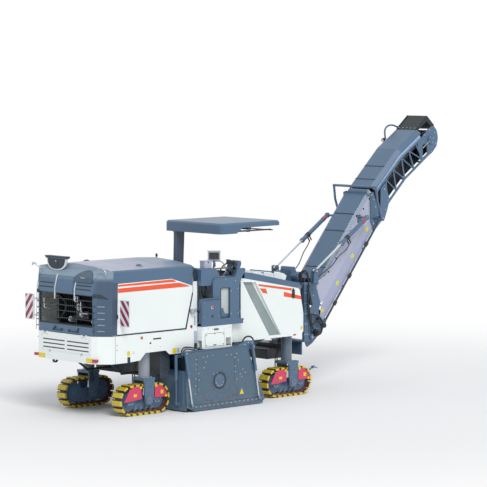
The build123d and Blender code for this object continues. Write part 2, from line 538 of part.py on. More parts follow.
PLATE = [(794, 100), (975, 15), (2865, 15), (2956, 92), (2450, 1200), (760, 1200)]
y_out, y_in = SIDE_PLATE_OUT_Y, SIDE_PLATE_OUT_Y + SIDE_PLATE_THICK
plate = side_cut(PLATE, y_out, y_in)
plate = plate + roll(DRUM_X, DRUM_Z, y_out - 8, y_out, 215, 24) - roll(DRUM_X, DRUM_Z, y_out - 20, y_out + 4, 190, 24)
plate = plate + side_cut([(975, 15), (2865, 15), (2895, 45), (930, 45)], y_out - 20, y_in)
slope = (-sin(radians(PLATE_SLOPE)), cos(radians(PLATE_SLOPE)))


def slope_rod(foot_x, foot_z, y, s0, s1, r):
    """A bar along the side plate's line of travel, from s0 to s1 above its foot."""
    a = (foot_x + slope[0] * s0, y, foot_z + slope[1] * s0)
    b = (foot_x + slope[0] * s1, y, foot_z + slope[1] * s1)
    return bar(a, b, r, 12)


y_cyl = y_out - 36
CYL_FEET = (905, 2760)
for foot in CYL_FEET:
    notch = [(foot + slope[0] * a + b, 150 + slope[1] * a) for a, b in ((760, -40), (760, 40), (1200, 40), (1200, -40))]
    plate = plate - side_cut(notch, y_out - 50, y_in + 5)
    plate = plate + slope_rod(foot, 150, y_cyl, 0, 760, 15) + block(foot - 30, foot + 30, y_cyl - 20, y_out, 110, 170)
for x in (1200, 2150):
    guide = [(x + slope[0] * a + b, 300 + slope[1] * a) for a, b in ((0, -30), (0, 30), (640, 30), (640, -30))]
    plate = plate + side_cut(guide, y_in, H0 - FIT_GAP)
save("side_plate_right", plate)
barrels = None
for foot in CYL_FEET:
    barrel = slope_rod(foot, 150, y_cyl, 560, 1110, 30) - slope_rod(foot, 150, y_cyl, 550, 1085, 15.3)
    barrels = barrel if barrels is None else barrels + barrel
    arm = [(foot + slope[0] * a + b, 150 + slope[1] * a) for a, b in ((1040, -28), (1040, 28), (1098, 28), (1098, -28))]
    barrels = barrels + side_cut(arm, y_cyl + 24, H0)
plate_hangers = barrels

L_OUT = H1 + 31
PLATE_LEFT = [(840, 100), (960, 15), (2200, 15), (2300, 92), (2300, 1040), (840, 1040)]
plate_l = side_cut(PLATE_LEFT, L_OUT - SIDE_PLATE_THICK, L_OUT)
plate_l = plate_l + side_cut([(960, 15), (2200, 15), (2235, 45), (915, 45)], L_OUT - SIDE_PLATE_THICK, L_OUT + 20)
for x in (1250, 2150):
    guide = [(x + slope[0] * a + b, 300 + slope[1] * a) for a, b in ((0, -30), (0, 30), (640, 30), (640, -30))]
    plate_l = plate_l + side_cut(guide, H1 + FIT_GAP, L_OUT - SIDE_PLATE_THICK)
save("side_plate_left", plate_l)
save("drum_housing", housing + plate_hangers)

blade = side_cut([(790, 60), (805, 25), (820, 60), (820, 830), (790, 830)], H0 + 4, H1 - 4)
for y in (H0 + 60, H1 - 80):
    blade = blade + side_cut([(770, 200), (790, 160), (790, 820), (770, 800)], y, y + 20)
blade = blade + block(820, 825.7, H0 + 4, H0 + 14, 330, 830) + block(820, 825.7, H1 - 14, H1 - 4, 330, 830)
for y in SCRAPER_Y:
    blade = blade + bar((725, y, 130), (725, y, 880), 16) + block(703, 790, y - 20, y + 20, 130, 190)
save("scraper_blade", blade)

# Loading conveyor in its casing, from the housing up to the nose
LOAD = [(2320, 420), (2500, 300), (2640, 300), (3660, 1110), (4860, 1420), (4860, 1760), (4700, 1820), (3560, 1440), (2320, 820)]
LOAD_IN = [(2300, 440), (2520, 330), (2630, 330), (3650, 1140), (4880, 1450), (4880, 1740), (3570, 1410), (2300, 790)]
casing = side_cut(LOAD, LOAD_RIGHT, LOAD_LEFT)
hopper = plan_cut([(2320, -960), (2480, -960), (2900, LOAD_RIGHT + 4), (2320, LOAD_RIGHT + 4)], 330, 830)
hopper = hopper & side_cut([(2320, 420), (2500, 330), (2640, 330), (2900, 530), (2900, 1000), (2320, 812)], -1000, 1000)
casing = casing + hopper - side_cut(LOAD_IN, LOAD_RIGHT + 8, LOAD_LEFT - 8)
casing = casing - plan_cut([(2300, -950), (2472, -950), (2884, LOAD_RIGHT + 12), (2300, LOAD_RIGHT + 12)], 432, 780)
casing = casing - side_cut([(2600, 820), (3000, 1020), (2920, 1190), (2520, 990)], LOAD_RIGHT + 60, LOAD_LEFT - 60)
BELT_LOOP = [(2545, 450), (2600, 400), (3655, 1200), (4800, 1500), (4800, 1610), (3600, 1310)]
BELT_INSIDE = [(2575, 450), (2604, 418), (3648, 1216), (4788, 1512), (4788, 1596), (3606, 1296)]
belt = side_cut(BELT_LOOP, LOAD_RIGHT + 45, LOAD_LEFT - 45) - side_cut(BELT_INSIDE, LOAD_RIGHT, LOAD_LEFT)
belt = belt + roll(4730, 1560, LOAD_RIGHT + 8, LOAD_LEFT - 8, 34)
save("loading_conveyor", [casing])
save("loading_belt", belt)

# Slew support: a lower and an upper arm in front of the frame, each with a bearing ring
PIN_R = 62.0
PIN_HOLE = Pos(SLEW_X, 0, 1600) * Cylinder(PIN_R + FIT_GAP, 1400)
arm = plan_cut([(4302, -590), (4420, -590), (4450, -560), (SLEW_X, -150), (SLEW_X, 150), (4450, 560), (4420, 590), (4302, 590)], 950, 1030)
arm = arm + disc(SLEW_X, 950, 1030, 110)
CHEEK = [(4302, 950), (4312, 860), (4340, 832), (4392, 832), (4420, 860), (4430, 950), (4430, 1640), (4302, 1640)]
for side in (-1, 1):
    y0, y1 = sorted((side * 560, side * 590))
    arm = arm + side_cut(CHEEK, y0, y1) - bore(LASH_FRONT[0], LASH_FRONT[1], y0 - 5, y1 + 5, LASH_R)
    y0, y1 = sorted((side * 480, side * 590))
    arm = arm + block(4240, 4430, y0, y1, 1600, 1640)
save("slew_lower_arm", arm - PIN_HOLE)
arm = plan_cut([(4240, -520), (4420, -520), (SLEW_X, -140), (SLEW_X, 140), (4420, 520), (4240, 520)], 2210, 2250)
arm = arm + disc(SLEW_X, 2190, 2250, 140)
for side in (-1, 1):
    arm = arm + block(4240, 4322, side * 500 - 20, side * 500 + 20, 1640, 2250)
save("slew_upper_arm", arm - PIN_HOLE)

# Slew yoke: it turns on the two bearings and carries the conveyor's foot and the rods of the lift cylinders
YOKE_LOW = [(SLEW_X - 60, 120), (4900, 540), (5010, 540)]
YOKE_HIGH = [(SLEW_X - 60, 120), (4900, 540), (5010, 560), (5220, 650), (5220, 470), (5060, 420)]
LUG = [(5070, 2300), (5220, 2300), (5215, 2560), (5180, 2600), (5130, 2600), (5100, 2560)]
FOOT_ARM = [(4930, 1036), (5150, 1036), (5240, 1080), (5240, 1180), (5130, 1210), (4930, 1300)]
yoke = plan_cut([(x, -y) for x, y in YOKE_LOW] + YOKE_LOW[::-1], 1036, 1076) + disc(SLEW_X, 1036, 1076, 130)
yoke = yoke + plan_cut([(x, -y) for x, y in YOKE_HIGH] + YOKE_HIGH[::-1], 2256, 2300) + disc(SLEW_X, 2256, 2300, 130)
yoke = yoke + bar((SLEW_X, 0, 955), (SLEW_X, 0, 1036), PIN_R) + bar((SLEW_X, 0, 2195), (SLEW_X, 0, 2256), PIN_R)
lugs = []
for side in (-1, 1):
    y0, y1 = sorted((side * 480, side * 540))
    yoke = yoke + block(4910, 5010, y0, y1, 1036, 2300)
    y0, y1 = sorted((side * 452, side * 480))
    yoke = yoke + side_cut(FOOT_ARM, y0, y1)
    for a, b in ((546, 566), (634, 654)):
        y0, y1 = sorted((side * a, side * b))
        lugs.append(side_cut(LUG, y0, y1))
    y0, y1 = sorted((side * 500, side * 654))
    yoke = yoke + block(5060, 5220, y0, y1, 2290, 2300)
    # swivel of the hydraulic lines beside the head of the yoke
    y0, y1 = sorted((side * 150, side * 350))
    yoke = yoke + roll(4960, 2430, y0, y1, 96) + block(4925, 4995, y0, y1, 2300, 2400)
    y0, y1 = sorted((side * PLATE_IN, side * 481))
    yoke = yoke + roll(FOOT[0], FOOT[1], y0, y1, 30, 16)
yoke = yoke + block(4900, 4935, -450, 450, 760, 1040)
yoke = yoke + side_cut([(4880, 2300), (5040, 2300), (5040, 2520), (4990, 2620), (4900, 2620), (4880, 2560)], -160, 160)
save("slew_yoke", yoke)
save("cylinder_lugs", lugs)

# Discharge conveyor: lower section
FOLD_TOP = (7125.0, 4225.0)
fx, fz = FOLD_TOP[0] - FOLD[0], FOLD_TOP[1] - FOLD[1]
fold_len = hypot(fx, fz)
fold_u = (fx / fold_len, fz / fold_len)


def fold_point(along, aside):
    """A point along the fold line from its pivot, moved aside towards the foot (minus) or the head (plus)."""
    return (FOLD[0] + fold_u[0] * along + fold_u[1] * aside, FOLD[1] + fold_u[1] * along - fold_u[0] * aside)


def foot_side(aside):
    """Everything on the foot's side of the fold line."""
    return side_cut([fold_point(-900, -aside), fold_point(1400, -aside), fold_point(1400, -4000), fold_point(-900, -4000)], -900, 900)


def head_side(aside):
    """Everything on the head's side of the fold line."""
    return side_cut([fold_point(-900, aside), fold_point(1400, aside), fold_point(1400, 3000), fold_point(-900, 3000)], -900, 900)


def channel(p, q, section, more=0.0):
    """A profile drawn across the conveyor, run from p to q along its side view."""
    length = hypot(q[0] - p[0], q[1] - p[1])
    ux, uz = (q[0] - p[0]) / length, (q[1] - p[1]) / length
    start = Plane(origin=(p[0] - ux * more, 0, p[1] - uz * more), x_dir=(0, 1, 0), z_dir=(ux, 0, uz))
    return extrude(start * Polygon(*turned(section), align=None), amount=length + 2 * more)


RAIL_LOW = [(5600.0, 1335.0), (6876.0, 2922.0), (7370.0, 3535.0)]
COVER_LINE = [(5600.0, 2330.0), (6626.0, 3631.0), (7158.0, 4241.0)]
CHORD_HALF = RAIL_HALF - 54.0
CHORD_LOW = [(5330.0, 2235.0), (5680.0, 2262.0), (6690.0, 3500.0), (7110.0, 3985.0)]
EYE_NOTCH = [(6680, 3490), (6790, 3510), (6820, 3620), (6770, 3670), (6690, 3650)]
FOOT_PLATE = [(5060, 1017), (5121, 900), (5290, 990), (5629, 1283), (5700, 1390), (5650, 1450), (5560, 1430), (5462, 1631),
              (5519, 1843), (5400, 2164), (5430, 2300), (5400, 2400), (5290, 2400), (5170, 2157), (5290, 1811), (5170, 1630),
              (5070, 1250)]
FOLD_PLATE = [(7190, 3290), (7460, 3540), (7420, 3640), (7200, 4160), (7060, 4120), (7080, 3500)]
low_frame = None
for side in (-1, 1):
    y = side * RAIL_HALF
    rail = tube_run([(x, y, z) for x, z in RAIL_LOW], RAIL_R)
    a, b = sorted((side * PLATE_IN, side * PLATE_OUT))
    foot_plate = side_cut(FOOT_PLATE, a, b, 12)
    fold_plate = side_cut(FOLD_PLATE, a, b, 12) & foot_side(8)
    fold_plate = fold_plate + roll(FOLD[0], FOLD[1], a, b, 56, 16)
    c, d = sorted((side * (RAIL_HALF - 60), side * RAIL_HALF))
    eye_plate = side_cut([(6690, 3500), (6780, 3520), (6810, 3620), (6760, 3660), (6700, 3640)], c, d, 8)
    chord = tube_run([(x, side * CHORD_HALF, z) for x, z in CHORD_LOW], 15)
    e, f = sorted((side * (CHORD_HALF - 10), side * (PLATE_OUT - 4)))
    for x, z in (CHORD_LOW[0], CHORD_LOW[-1]):
        chord = chord + roll(x, z, e, f, 18, 8)
    piece = rail + foot_plate + fold_plate + eye_plate + chord
    low_frame = piece if low_frame is None else low_frame + piece
low_frame = low_frame - bore(FOOT[0], FOOT[1], -PLATE_OUT - 20, PLATE_OUT + 20, 30 + FIT_GAP)
for x, z in ((5700, 1459), (6250, 2143), (6876, 2922), (7200, 3324)):
    low_frame = low_frame + roll(x, z, -RAIL_HALF, RAIL_HALF, 22, 8)
for side in (-1, 1):
    y0, y1 = sorted((side * RAIL_HALF, side * (CYL_Y + 40)))
    low_frame = low_frame + roll(CYL_HIGH[0], CYL_HIGH[1], y0, y1, 24)
low_frame = low_frame - bore(FOLD[0], FOLD[1], -PLATE_OUT - 20, PLATE_OUT + 20, 30 + FIT_GAP)
save("conveyor_lower_frame", low_frame)

# Guard hoop over the fold, on the outside of the two fold plates
HOOP_Y = RAIL_HALF + 240.0
HOOP_TOP = (7000.0, 4262.0)
hoop = roll(HOOP_TOP[0], HOOP_TOP[1], -HOOP_Y - 15, HOOP_Y + 15, 28, 8)
for side in (-1, 1):
    y0, y1 = sorted((side * PLATE_OUT, side * (HOOP_Y + 20)))
    hoop = hoop + roll(7190, 3560, y0, y1, 26, 8)
    hoop = hoop + tube_run([(7190, side * HOOP_Y, 3560), (7040, side * HOOP_Y, 3960), (HOOP_TOP[0], side * HOOP_Y, HOOP_TOP[1])], 26)
save("conveyor_hoop", hoop)

SIDE_COVER = [(5596, 1402), (5740, 1555), (6851, 2942), (7320, 3524), (7300, 3700), (7110, 4130), (6640, 3560), (5690, 2400),
              (5560, 2340), (5430, 2300), (5390, 2164), (5500, 1843), (5452, 1631)]
side_cover = side_cut(SIDE_COVER, -COVER_OUT, -COVER_OUT + 8) & foot_side(10)
side_cover = side_cover - side_cut(EYE_NOTCH, -RAIL_HALF, -RAIL_HALF + 30)
side_cover = side_cover - roll(CHORD_LOW[-1][0], CHORD_LOW[-1][1], -RAIL_HALF, -RAIL_HALF + 30, 21, 8)
save("conveyor_side_covers", both(side_cover))

TOP_HALF = COVER_OUT - 8.3
TOP_OUTER = [(-TOP_HALF, -108), (-TOP_HALF, -84), (-TOP_HALF + 86, 0), (TOP_HALF - 86, 0), (TOP_HALF, -84), (TOP_HALF, -108)]
TOP_INNER = [(TOP_HALF - 8, -108), (TOP_HALF - 8, -88), (TOP_HALF - 89, -8), (-TOP_HALF + 89, -8), (-TOP_HALF + 8, -88),
             (-TOP_HALF + 8, -108)]
TOP_SECTION = TOP_OUTER + TOP_INNER
low_cover = channel(COVER_LINE[0], COVER_LINE[1], TOP_SECTION, 4) + channel(COVER_LINE[1], COVER_LINE[2], TOP_SECTION, 4)
low_cover = (low_cover & foot_side(10)) - side_cut(EYE_NOTCH, -RAIL_HALF, -RAIL_HALF + 70) - side_cut(EYE_NOTCH, RAIL_HALF - 70, RAIL_HALF)
save("conveyor_top_cover", low_cover)

BELT_HALF = RAIL_HALF - 75.0
BELT_THICK = 10.0


def strip(line, near, far, y0, y1):
    """A slab that follows a run of points in the side view, between two distances on its upper side."""
    sides = ([], [])
    for n, point in enumerate(line):
        turns = []
        for a, b in ((max(n - 1, 0), max(n, 1)), (min(n, len(line) - 2), min(n + 1, len(line) - 1))):
            turns.append(atan2(line[b][1] - line[a][1], line[b][0] - line[a][0]))
        mid, half = (turns[0] + turns[1]) / 2, (turns[1] - turns[0]) / 2
        for group, away in zip(sides, (near, far)):
            reach = away / cos(half)
            group.append((point[0] - reach * sin(mid), point[1] + reach * cos(mid)))
    return side_cut(sides[0] + sides[1][::-1], y0, y1)


def wrap(centre, r, heading, y0, y1):
    """Half a turn of belt round a pulley, on the side that the heading points to."""
    ring = roll(centre[0], centre[1], y0, y1, r + BELT_THICK, 32) - roll(centre[0], centre[1], y0 - 1, y1 + 1, r, 32)
    half = Pos(centre[0], (y0 + y1) / 2, centre[1]) * Rot(0, -heading, 0) * (Pos(400, 0, 0) * Box(800, 900, 900))
    return ring & half


BAR_R = 22.0
RETURN_D = BAR_R + FIT_GAP
FOOT_PULLEY_R = 184.0
CARRY_D = RETURN_D + BELT_THICK + 2 * FOOT_PULLEY_R + 2 * FIT_GAP
rail_turn = atan2(RAIL_LOW[1][1] - RAIL_LOW[0][1], RAIL_LOW[1][0] - RAIL_LOW[0][0])
pulley_d = RETURN_D + BELT_THICK + FIT_GAP + FOOT_PULLEY_R
tail = (RAIL_LOW[0][0] + 70 * cos(rail_turn), RAIL_LOW[0][1] + 70 * sin(rail_turn))
TAIL = (tail[0] - pulley_d * sin(rail_turn), tail[1] + pulley_d * cos(rail_turn))
run = [tail, RAIL_LOW[1], (RAIL_LOW[2][0] + 124 * 0.62, RAIL_LOW[2][1] + 124 * 0.77)]
low_belt = strip(run, RETURN_D, RETURN_D + BELT_THICK, -BELT_HALF, BELT_HALF)
low_belt = low_belt + strip(run, CARRY_D, CARRY_D + BELT_THICK, -BELT_HALF, BELT_HALF)
low_belt = (low_belt + wrap(TAIL, FOOT_PULLEY_R + FIT_GAP, degrees(rail_turn) + 180, -BELT_HALF, BELT_HALF)) & foot_side(14)
tail_pulley = roll(TAIL[0], TAIL[1], -BELT_HALF, BELT_HALF, FOOT_PULLEY_R, 32) + roll(TAIL[0], TAIL[1], -PLATE_IN, PLATE_IN, 40)
low_belt = [low_belt, tail_pulley]
for along in (1550, 1950, 2350):
    x, z = tail[0] + along * cos(rail_turn), tail[1] + along * sin(rail_turn)
    away = CARRY_D - 30 - FIT_GAP
    low_belt.append(roll(x - away * sin(rail_turn), z + away * cos(rail_turn), -COVER_OUT + 8, COVER_OUT - 8, 30, 10))
save("conveyor_lower_belt", low_belt)

# Discharge conveyor: upper section, folded down about the pivot at its lower rail
RAIL_UP = [(7440.0, 3640.0), (7610.0, 3870.0), (8166.0, 4398.0), (9060.0, 5000.0)]
CHORD_UP = [(7300.0, 4150.0), (7422.0, 4279.0), (8057.0, 4860.0), (8512.0, 5157.0), (9000.0, 5430.0)]
COVER_UP = [(7170.0, 4254.0), (8016.0, 5061.0), (8647.0, 5470.0), (8860.0, 5600.0)]
HEAD = (8987.0, 5237.0)
HEAD_PULLEY_R = 205.0
TRUSS_BAYS = [((7610, 3870), (7560, 4405)), ((7900, 4145), (7790, 4615)), ((8166, 4398), (8057, 4860)), ((8470, 4603), (8290, 5012)),
              ((8760, 4798), (8512, 5157))]
PIVOT_PLATE = [(7340, 3500), (7460, 3500), (7560, 3720), (7640, 3960), (7500, 4330), (7360, 4200)]
HEAD_PLATE = [(8700, 4750), (9060, 4960), (9200, 5100), (9240, 5280), (9200, 5450), (9080, 5560), (8950, 5500), (8560, 5180)]
truss = None
for side in (-1, 1):
    y = side * RAIL_HALF
    piece = tube_run([(x, y, z) for x, z in RAIL_UP], RAIL_R) + tube_run([(x, y, z) for x, z in CHORD_UP], 16)
    for low, high in TRUSS_BAYS:
        piece = piece + flat(low, high, 34, y - 9, y + 9)
    for (low, high), (low2, high2) in zip(TRUSS_BAYS, TRUSS_BAYS[1:]):
        piece = piece + flat(high, low2, 26, y - 7, y + 7)
    a, b = sorted((side * 430, side * 446))
    pivot_plate = side_cut(PIVOT_PLATE, a, b, 10)
    c, d = sorted((side * 400, side * 446))
    pivot_plate = pivot_plate + (side_cut([(7470, 3700), (7560, 3720), (7640, 3960), (7500, 4330), (7400, 4220)], c, d) & head_side(24))
    a, b = sorted((side * 388, side * 412))
    head_plate = side_cut(HEAD_PLATE, a, b, 30)
    head_plate = head_plate - side_cut([(8740, 4840), (8900, 4930), (8880, 5160), (8740, 5140)], a - 5, b + 5, 20)
    piece = piece + pivot_plate + head_plate
    truss = piece if truss is None else truss + piece
for x, z in ((7610, 3870), (8166, 4398), (8700, 4757)):
    truss = truss + roll(x, z, -RAIL_HALF, RAIL_HALF, 20, 8)
truss = truss + roll(FOLD[0], FOLD[1], -447, -386, 30, 16) + roll(FOLD[0], FOLD[1], 386, 447, 30, 16)
truss = truss - roll(HEAD[0], HEAD[1], -450, 450, 40 + FIT_GAP)
save("conveyor_upper_truss", truss)

up_cover = channel(COVER_UP[0], COVER_UP[1], TOP_SECTION, 4) + channel(COVER_UP[1], COVER_UP[2], TOP_SECTION, 4)
up_cover = up_cover & head_side(10)
SIDE_UP = [(7350, 4160), (7430, 4250), (8063, 4835), (8520, 5130), (8740, 5255), (8660, 5350), (8016, 4926), (7280, 4210)]
up_side = side_cut(SIDE_UP, -TOP_HALF - 6, -TOP_HALF - FIT_GAP) & head_side(10)
save("conveyor_upper_cover", up_cover)
save("conveyor_upper_sides", both(up_side))

head_turn = atan2(RAIL_UP[3][1] - RAIL_UP[2][1], RAIL_UP[3][0] - RAIL_UP[2][0])
ahead = (HEAD[0] - RAIL_UP[2][0]) * cos(head_turn) + (HEAD[1] - RAIL_UP[2][1]) * sin(head_turn)
head_d = (HEAD[1] - RAIL_UP[2][1]) * cos(head_turn) - (HEAD[0] - RAIL_UP[2][0]) * sin(head_turn)
head_foot = (RAIL_UP[2][0] + ahead * cos(head_turn), RAIL_UP[2][1] + ahead * sin(head_turn))
up_run = [(7440.0, 3640.0), RAIL_UP[1], RAIL_UP[2], head_foot]
near, far = head_d - HEAD_PULLEY_R - FIT_GAP - BELT_THICK, head_d + HEAD_PULLEY_R + FIT_GAP
up_belt = strip(up_run, near, near + BELT_THICK, -BELT_HALF, BELT_HALF) + strip(up_run, far, far + BELT_THICK, -BELT_HALF, BELT_HALF)
up_belt = (up_belt & head_side(30)) + wrap(HEAD, HEAD_PULLEY_R + FIT_GAP, degrees(head_turn), -BELT_HALF, BELT_HALF)
head_pulley = roll(HEAD[0], HEAD[1], -440, 440, 40) + roll(HEAD[0], HEAD[1], -BELT_HALF, BELT_HALF, HEAD_PULLEY_R, 32)
up_belt = [up_belt, head_pulley]
save("conveyor_upper_belt", up_belt)
rubber = side_cut([(8630, 5460), (9000, 5770), (9232, 5560), (9222, 5470), (9180, 5480), (8990, 5650), (8680, 5440)], -300, 300)
cover_bulk = channel(COVER_UP[1], COVER_UP[2], TOP_OUTER, 4)
save("head_hood", rubber - cover_bulk)

# Lift cylinders: barrels hang from the conveyor, rods run down to the yoke
cyl_len = hypot(CYL_LOW[0] - CYL_HIGH[0], CYL_LOW[1] - CYL_HIGH[1])
cyl_u = ((CYL_LOW[0] - CYL_HIGH[0]) / cyl_len, (CYL_LOW[1] - CYL_HIGH[1]) / cyl_len)


def on_cylinder(y, s):
    """A point on a lift cylinder's centre line, s from its upper eye."""
    return (CYL_HIGH[0] + cyl_u[0] * s, y, CYL_HIGH[1] + cyl_u[1] * s)


barrels = []
rods = []
for y in (-CYL_Y, CYL_Y):
    barrel = bar(on_cylinder(y, 30), on_cylinder(y, 950), BARREL_R) + roll(CYL_HIGH[0], CYL_HIGH[1], y - 26, y + 26, 56, 16)
    barrel = barrel - bar(on_cylinder(y, 90), on_cylinder(y, 960), ROD_R + 2 * FIT_GAP)
    barrels.append(barrel - bore(CYL_HIGH[0], CYL_HIGH[1], y - 40, y + 40, 24 + FIT_GAP))
    rods.append(bar(on_cylinder(y, 230), on_cylinder(y, cyl_len), ROD_R) + roll(CYL_LOW[0], CYL_LOW[1], y - 24, y + 24, 44))
save("lift_barrels", barrels)
save("lift_rods", rods)

# Steering wheel
WHEEL = Plane(origin=(WHEEL_HUB[0], WHEEL_Y, WHEEL_HUB[1]), z_dir=(WHEEL_LEAN[0], 0, WHEEL_LEAN[1]))
rim_ring = extrude(WHEEL.offset(-12) * (RegularPolygon(WHEEL_R, 28) - RegularPolygon(WHEEL_R - 25, 28)), amount=24)
rim_ring = rim_ring + extrude(WHEEL.offset(-15) * RegularPolygon(34, 10), amount=30)
for turn in (0, 120, 240):
    rim_ring = rim_ring + WHEEL * Rot(0, 0, turn) * Pos(WHEEL_R / 2, 0, 0) * Box(WHEEL_R - 30, 24, 10)
save("steering_wheel", rim_ring)
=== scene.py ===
import math

import bmesh
import bpy
from mathutils import Matrix, Vector


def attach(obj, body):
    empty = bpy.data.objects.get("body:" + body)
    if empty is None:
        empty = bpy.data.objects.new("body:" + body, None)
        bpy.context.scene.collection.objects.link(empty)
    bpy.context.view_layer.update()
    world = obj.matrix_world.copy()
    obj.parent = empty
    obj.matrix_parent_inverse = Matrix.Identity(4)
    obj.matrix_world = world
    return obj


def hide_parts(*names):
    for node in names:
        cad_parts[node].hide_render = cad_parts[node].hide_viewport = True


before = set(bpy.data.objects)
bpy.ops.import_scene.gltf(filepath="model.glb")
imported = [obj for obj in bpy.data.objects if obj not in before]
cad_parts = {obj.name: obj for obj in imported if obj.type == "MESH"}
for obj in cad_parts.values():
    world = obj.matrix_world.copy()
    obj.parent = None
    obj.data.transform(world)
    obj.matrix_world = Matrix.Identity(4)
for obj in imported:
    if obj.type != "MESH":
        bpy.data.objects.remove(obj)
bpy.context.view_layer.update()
bpy.context.scene.view_settings.view_transform = "Standard"


# The photographer's place: behind the machine's right rear corner, a little above the hood,
# far off with a long lens, so that the sides stay nearly parallel.
YAW, PITCH = math.radians(43.596), math.radians(4.287)
photo_camera = bpy.data.objects.new("photo_camera", bpy.data.cameras.new("photo_camera"))
photo_camera.data.sensor_width = 36.0
photo_camera.data.lens = 192.8
photo_camera.data.clip_end = 900.0
photo_camera.location = (-38.061, -39.612, 7.278)
looking = Vector((math.sin(YAW) * math.cos(PITCH), math.cos(YAW) * math.cos(PITCH), -math.sin(PITCH)))
photo_camera.rotation_euler = looking.to_track_quat("-Z", "Y").to_euler()
bpy.context.scene.collection.objects.link(photo_camera)
bpy.context.scene.camera = photo_camera


# The studio: a white sweep that keeps the machine's soft shadow near it and fades to plain
# white further out, one large soft lamp from the right, and even light from all round.
def linear(code):
    """The linear colour of an sRGB hex code."""
    parts = [int(code[n:n + 2], 16) / 255 for n in (1, 3, 5)]
    return [p / 12.92 if p <= 0.04045 else ((p + 0.055) / 1.055) ** 2.4 for p in parts] + [1.0]


def add(tree, kind, inputs=None, **settings):
    """Adds a shader node, makes its settings, and gives each named input a value or a link."""
    made = tree.nodes.new("ShaderNode" + kind)
    for name, value in settings.items():
        setattr(made, name, value)
    for name, value in (inputs or {}).items():
        if isinstance(value, bpy.types.NodeSocket):
            tree.links.new(value, made.inputs[name])
        else:
            made.inputs[name].default_value = value
    return made


def seen_direct(tree):
    """1 for what the lens, a gloss or a clear pane shows, 0 for what lights the machine."""
    rays = add(tree, "LightPath").outputs
    gloss = add(tree, "Math", {0: rays["Is Camera Ray"], 1: rays["Is Glossy Ray"]}, operation="MAXIMUM")
    return add(tree, "Math", {0: gloss.outputs[0], 1: rays["Is Transmission Ray"]}, operation="MAXIMUM").outputs[0]


sweep_paint = bpy.data.materials.new("matt_white_sweep")
sweep_paint.use_nodes = True
tree = sweep_paint.node_tree
matt = tree.nodes["Principled BSDF"]
matt.inputs["Base Color"].default_value = linear("#fafafa")
matt.inputs["Roughness"].default_value = 0.85
matt.inputs["Specular IOR Level"].default_value = 0.1
spot = add(tree, "VectorMath", {0: add(tree, "TexCoord").outputs["Object"]}, operation="LENGTH")
fade = add(tree, "MapRange", {"Value": spot.outputs["Value"], "From Min": 6.0, "From Max": 17.0},
           interpolation_type="SMOOTHERSTEP")
share = add(tree, "Math", {0: fade.outputs[0], 1: seen_direct(tree)}, operation="MULTIPLY")
white = add(tree, "Emission", {"Color": (1, 1, 1, 1), "Strength": 1.0})
mixed = add(tree, "MixShader", {"Fac": share.outputs[0], 1: matt.outputs[0], 2: white.outputs[0]})
tree.links.new(mixed.outputs[0], tree.nodes["Material Output"].inputs["Surface"])
bm = bmesh.new()
bmesh.ops.create_circle(bm, cap_ends=True, segments=96, radius=420.0)
sweep_mesh = bpy.data.meshes.new("white_sweep")
bm.to_mesh(sweep_mesh)
bm.free()
sweep_mesh.materials.append(sweep_paint)
white_sweep = bpy.data.objects.new("white_sweep", sweep_mesh)
white_sweep.location.z = -0.002
bpy.context.scene.collection.objects.link(white_sweep)

studio = bpy.data.worlds.new("studio_light")
bpy.context.scene.world = studio
studio.use_nodes = True
tree = studio.node_tree
around = tree.nodes["Background"]
around.inputs["Color"].default_value = linear("#f3f6fa")
around.inputs["Strength"].default_value = 0.62
backdrop = add(tree, "Background", {"Color": (1, 1, 1, 1), "Strength": 1.0})
mixed = add(tree, "MixShader", {"Fac": seen_direct(tree), 1: around.outputs[0], 2: backdrop.outputs[0]})
tree.links.new(mixed.outputs[0], tree.nodes["World Output"].inputs["Surface"])
soft_lamp = bpy.data.objects.new("soft_lamp", bpy.data.lights.new("soft_lamp", "SUN"))
soft_lamp.data.energy = 1.55
soft_lamp.data.angle = math.radians(24)
soft_lamp.rotation_euler = Vector((0.32, 0.66, -0.72)).to_track_quat("-Z", "Y").to_euler()
bpy.context.scene.collection.objects.link(soft_lamp)


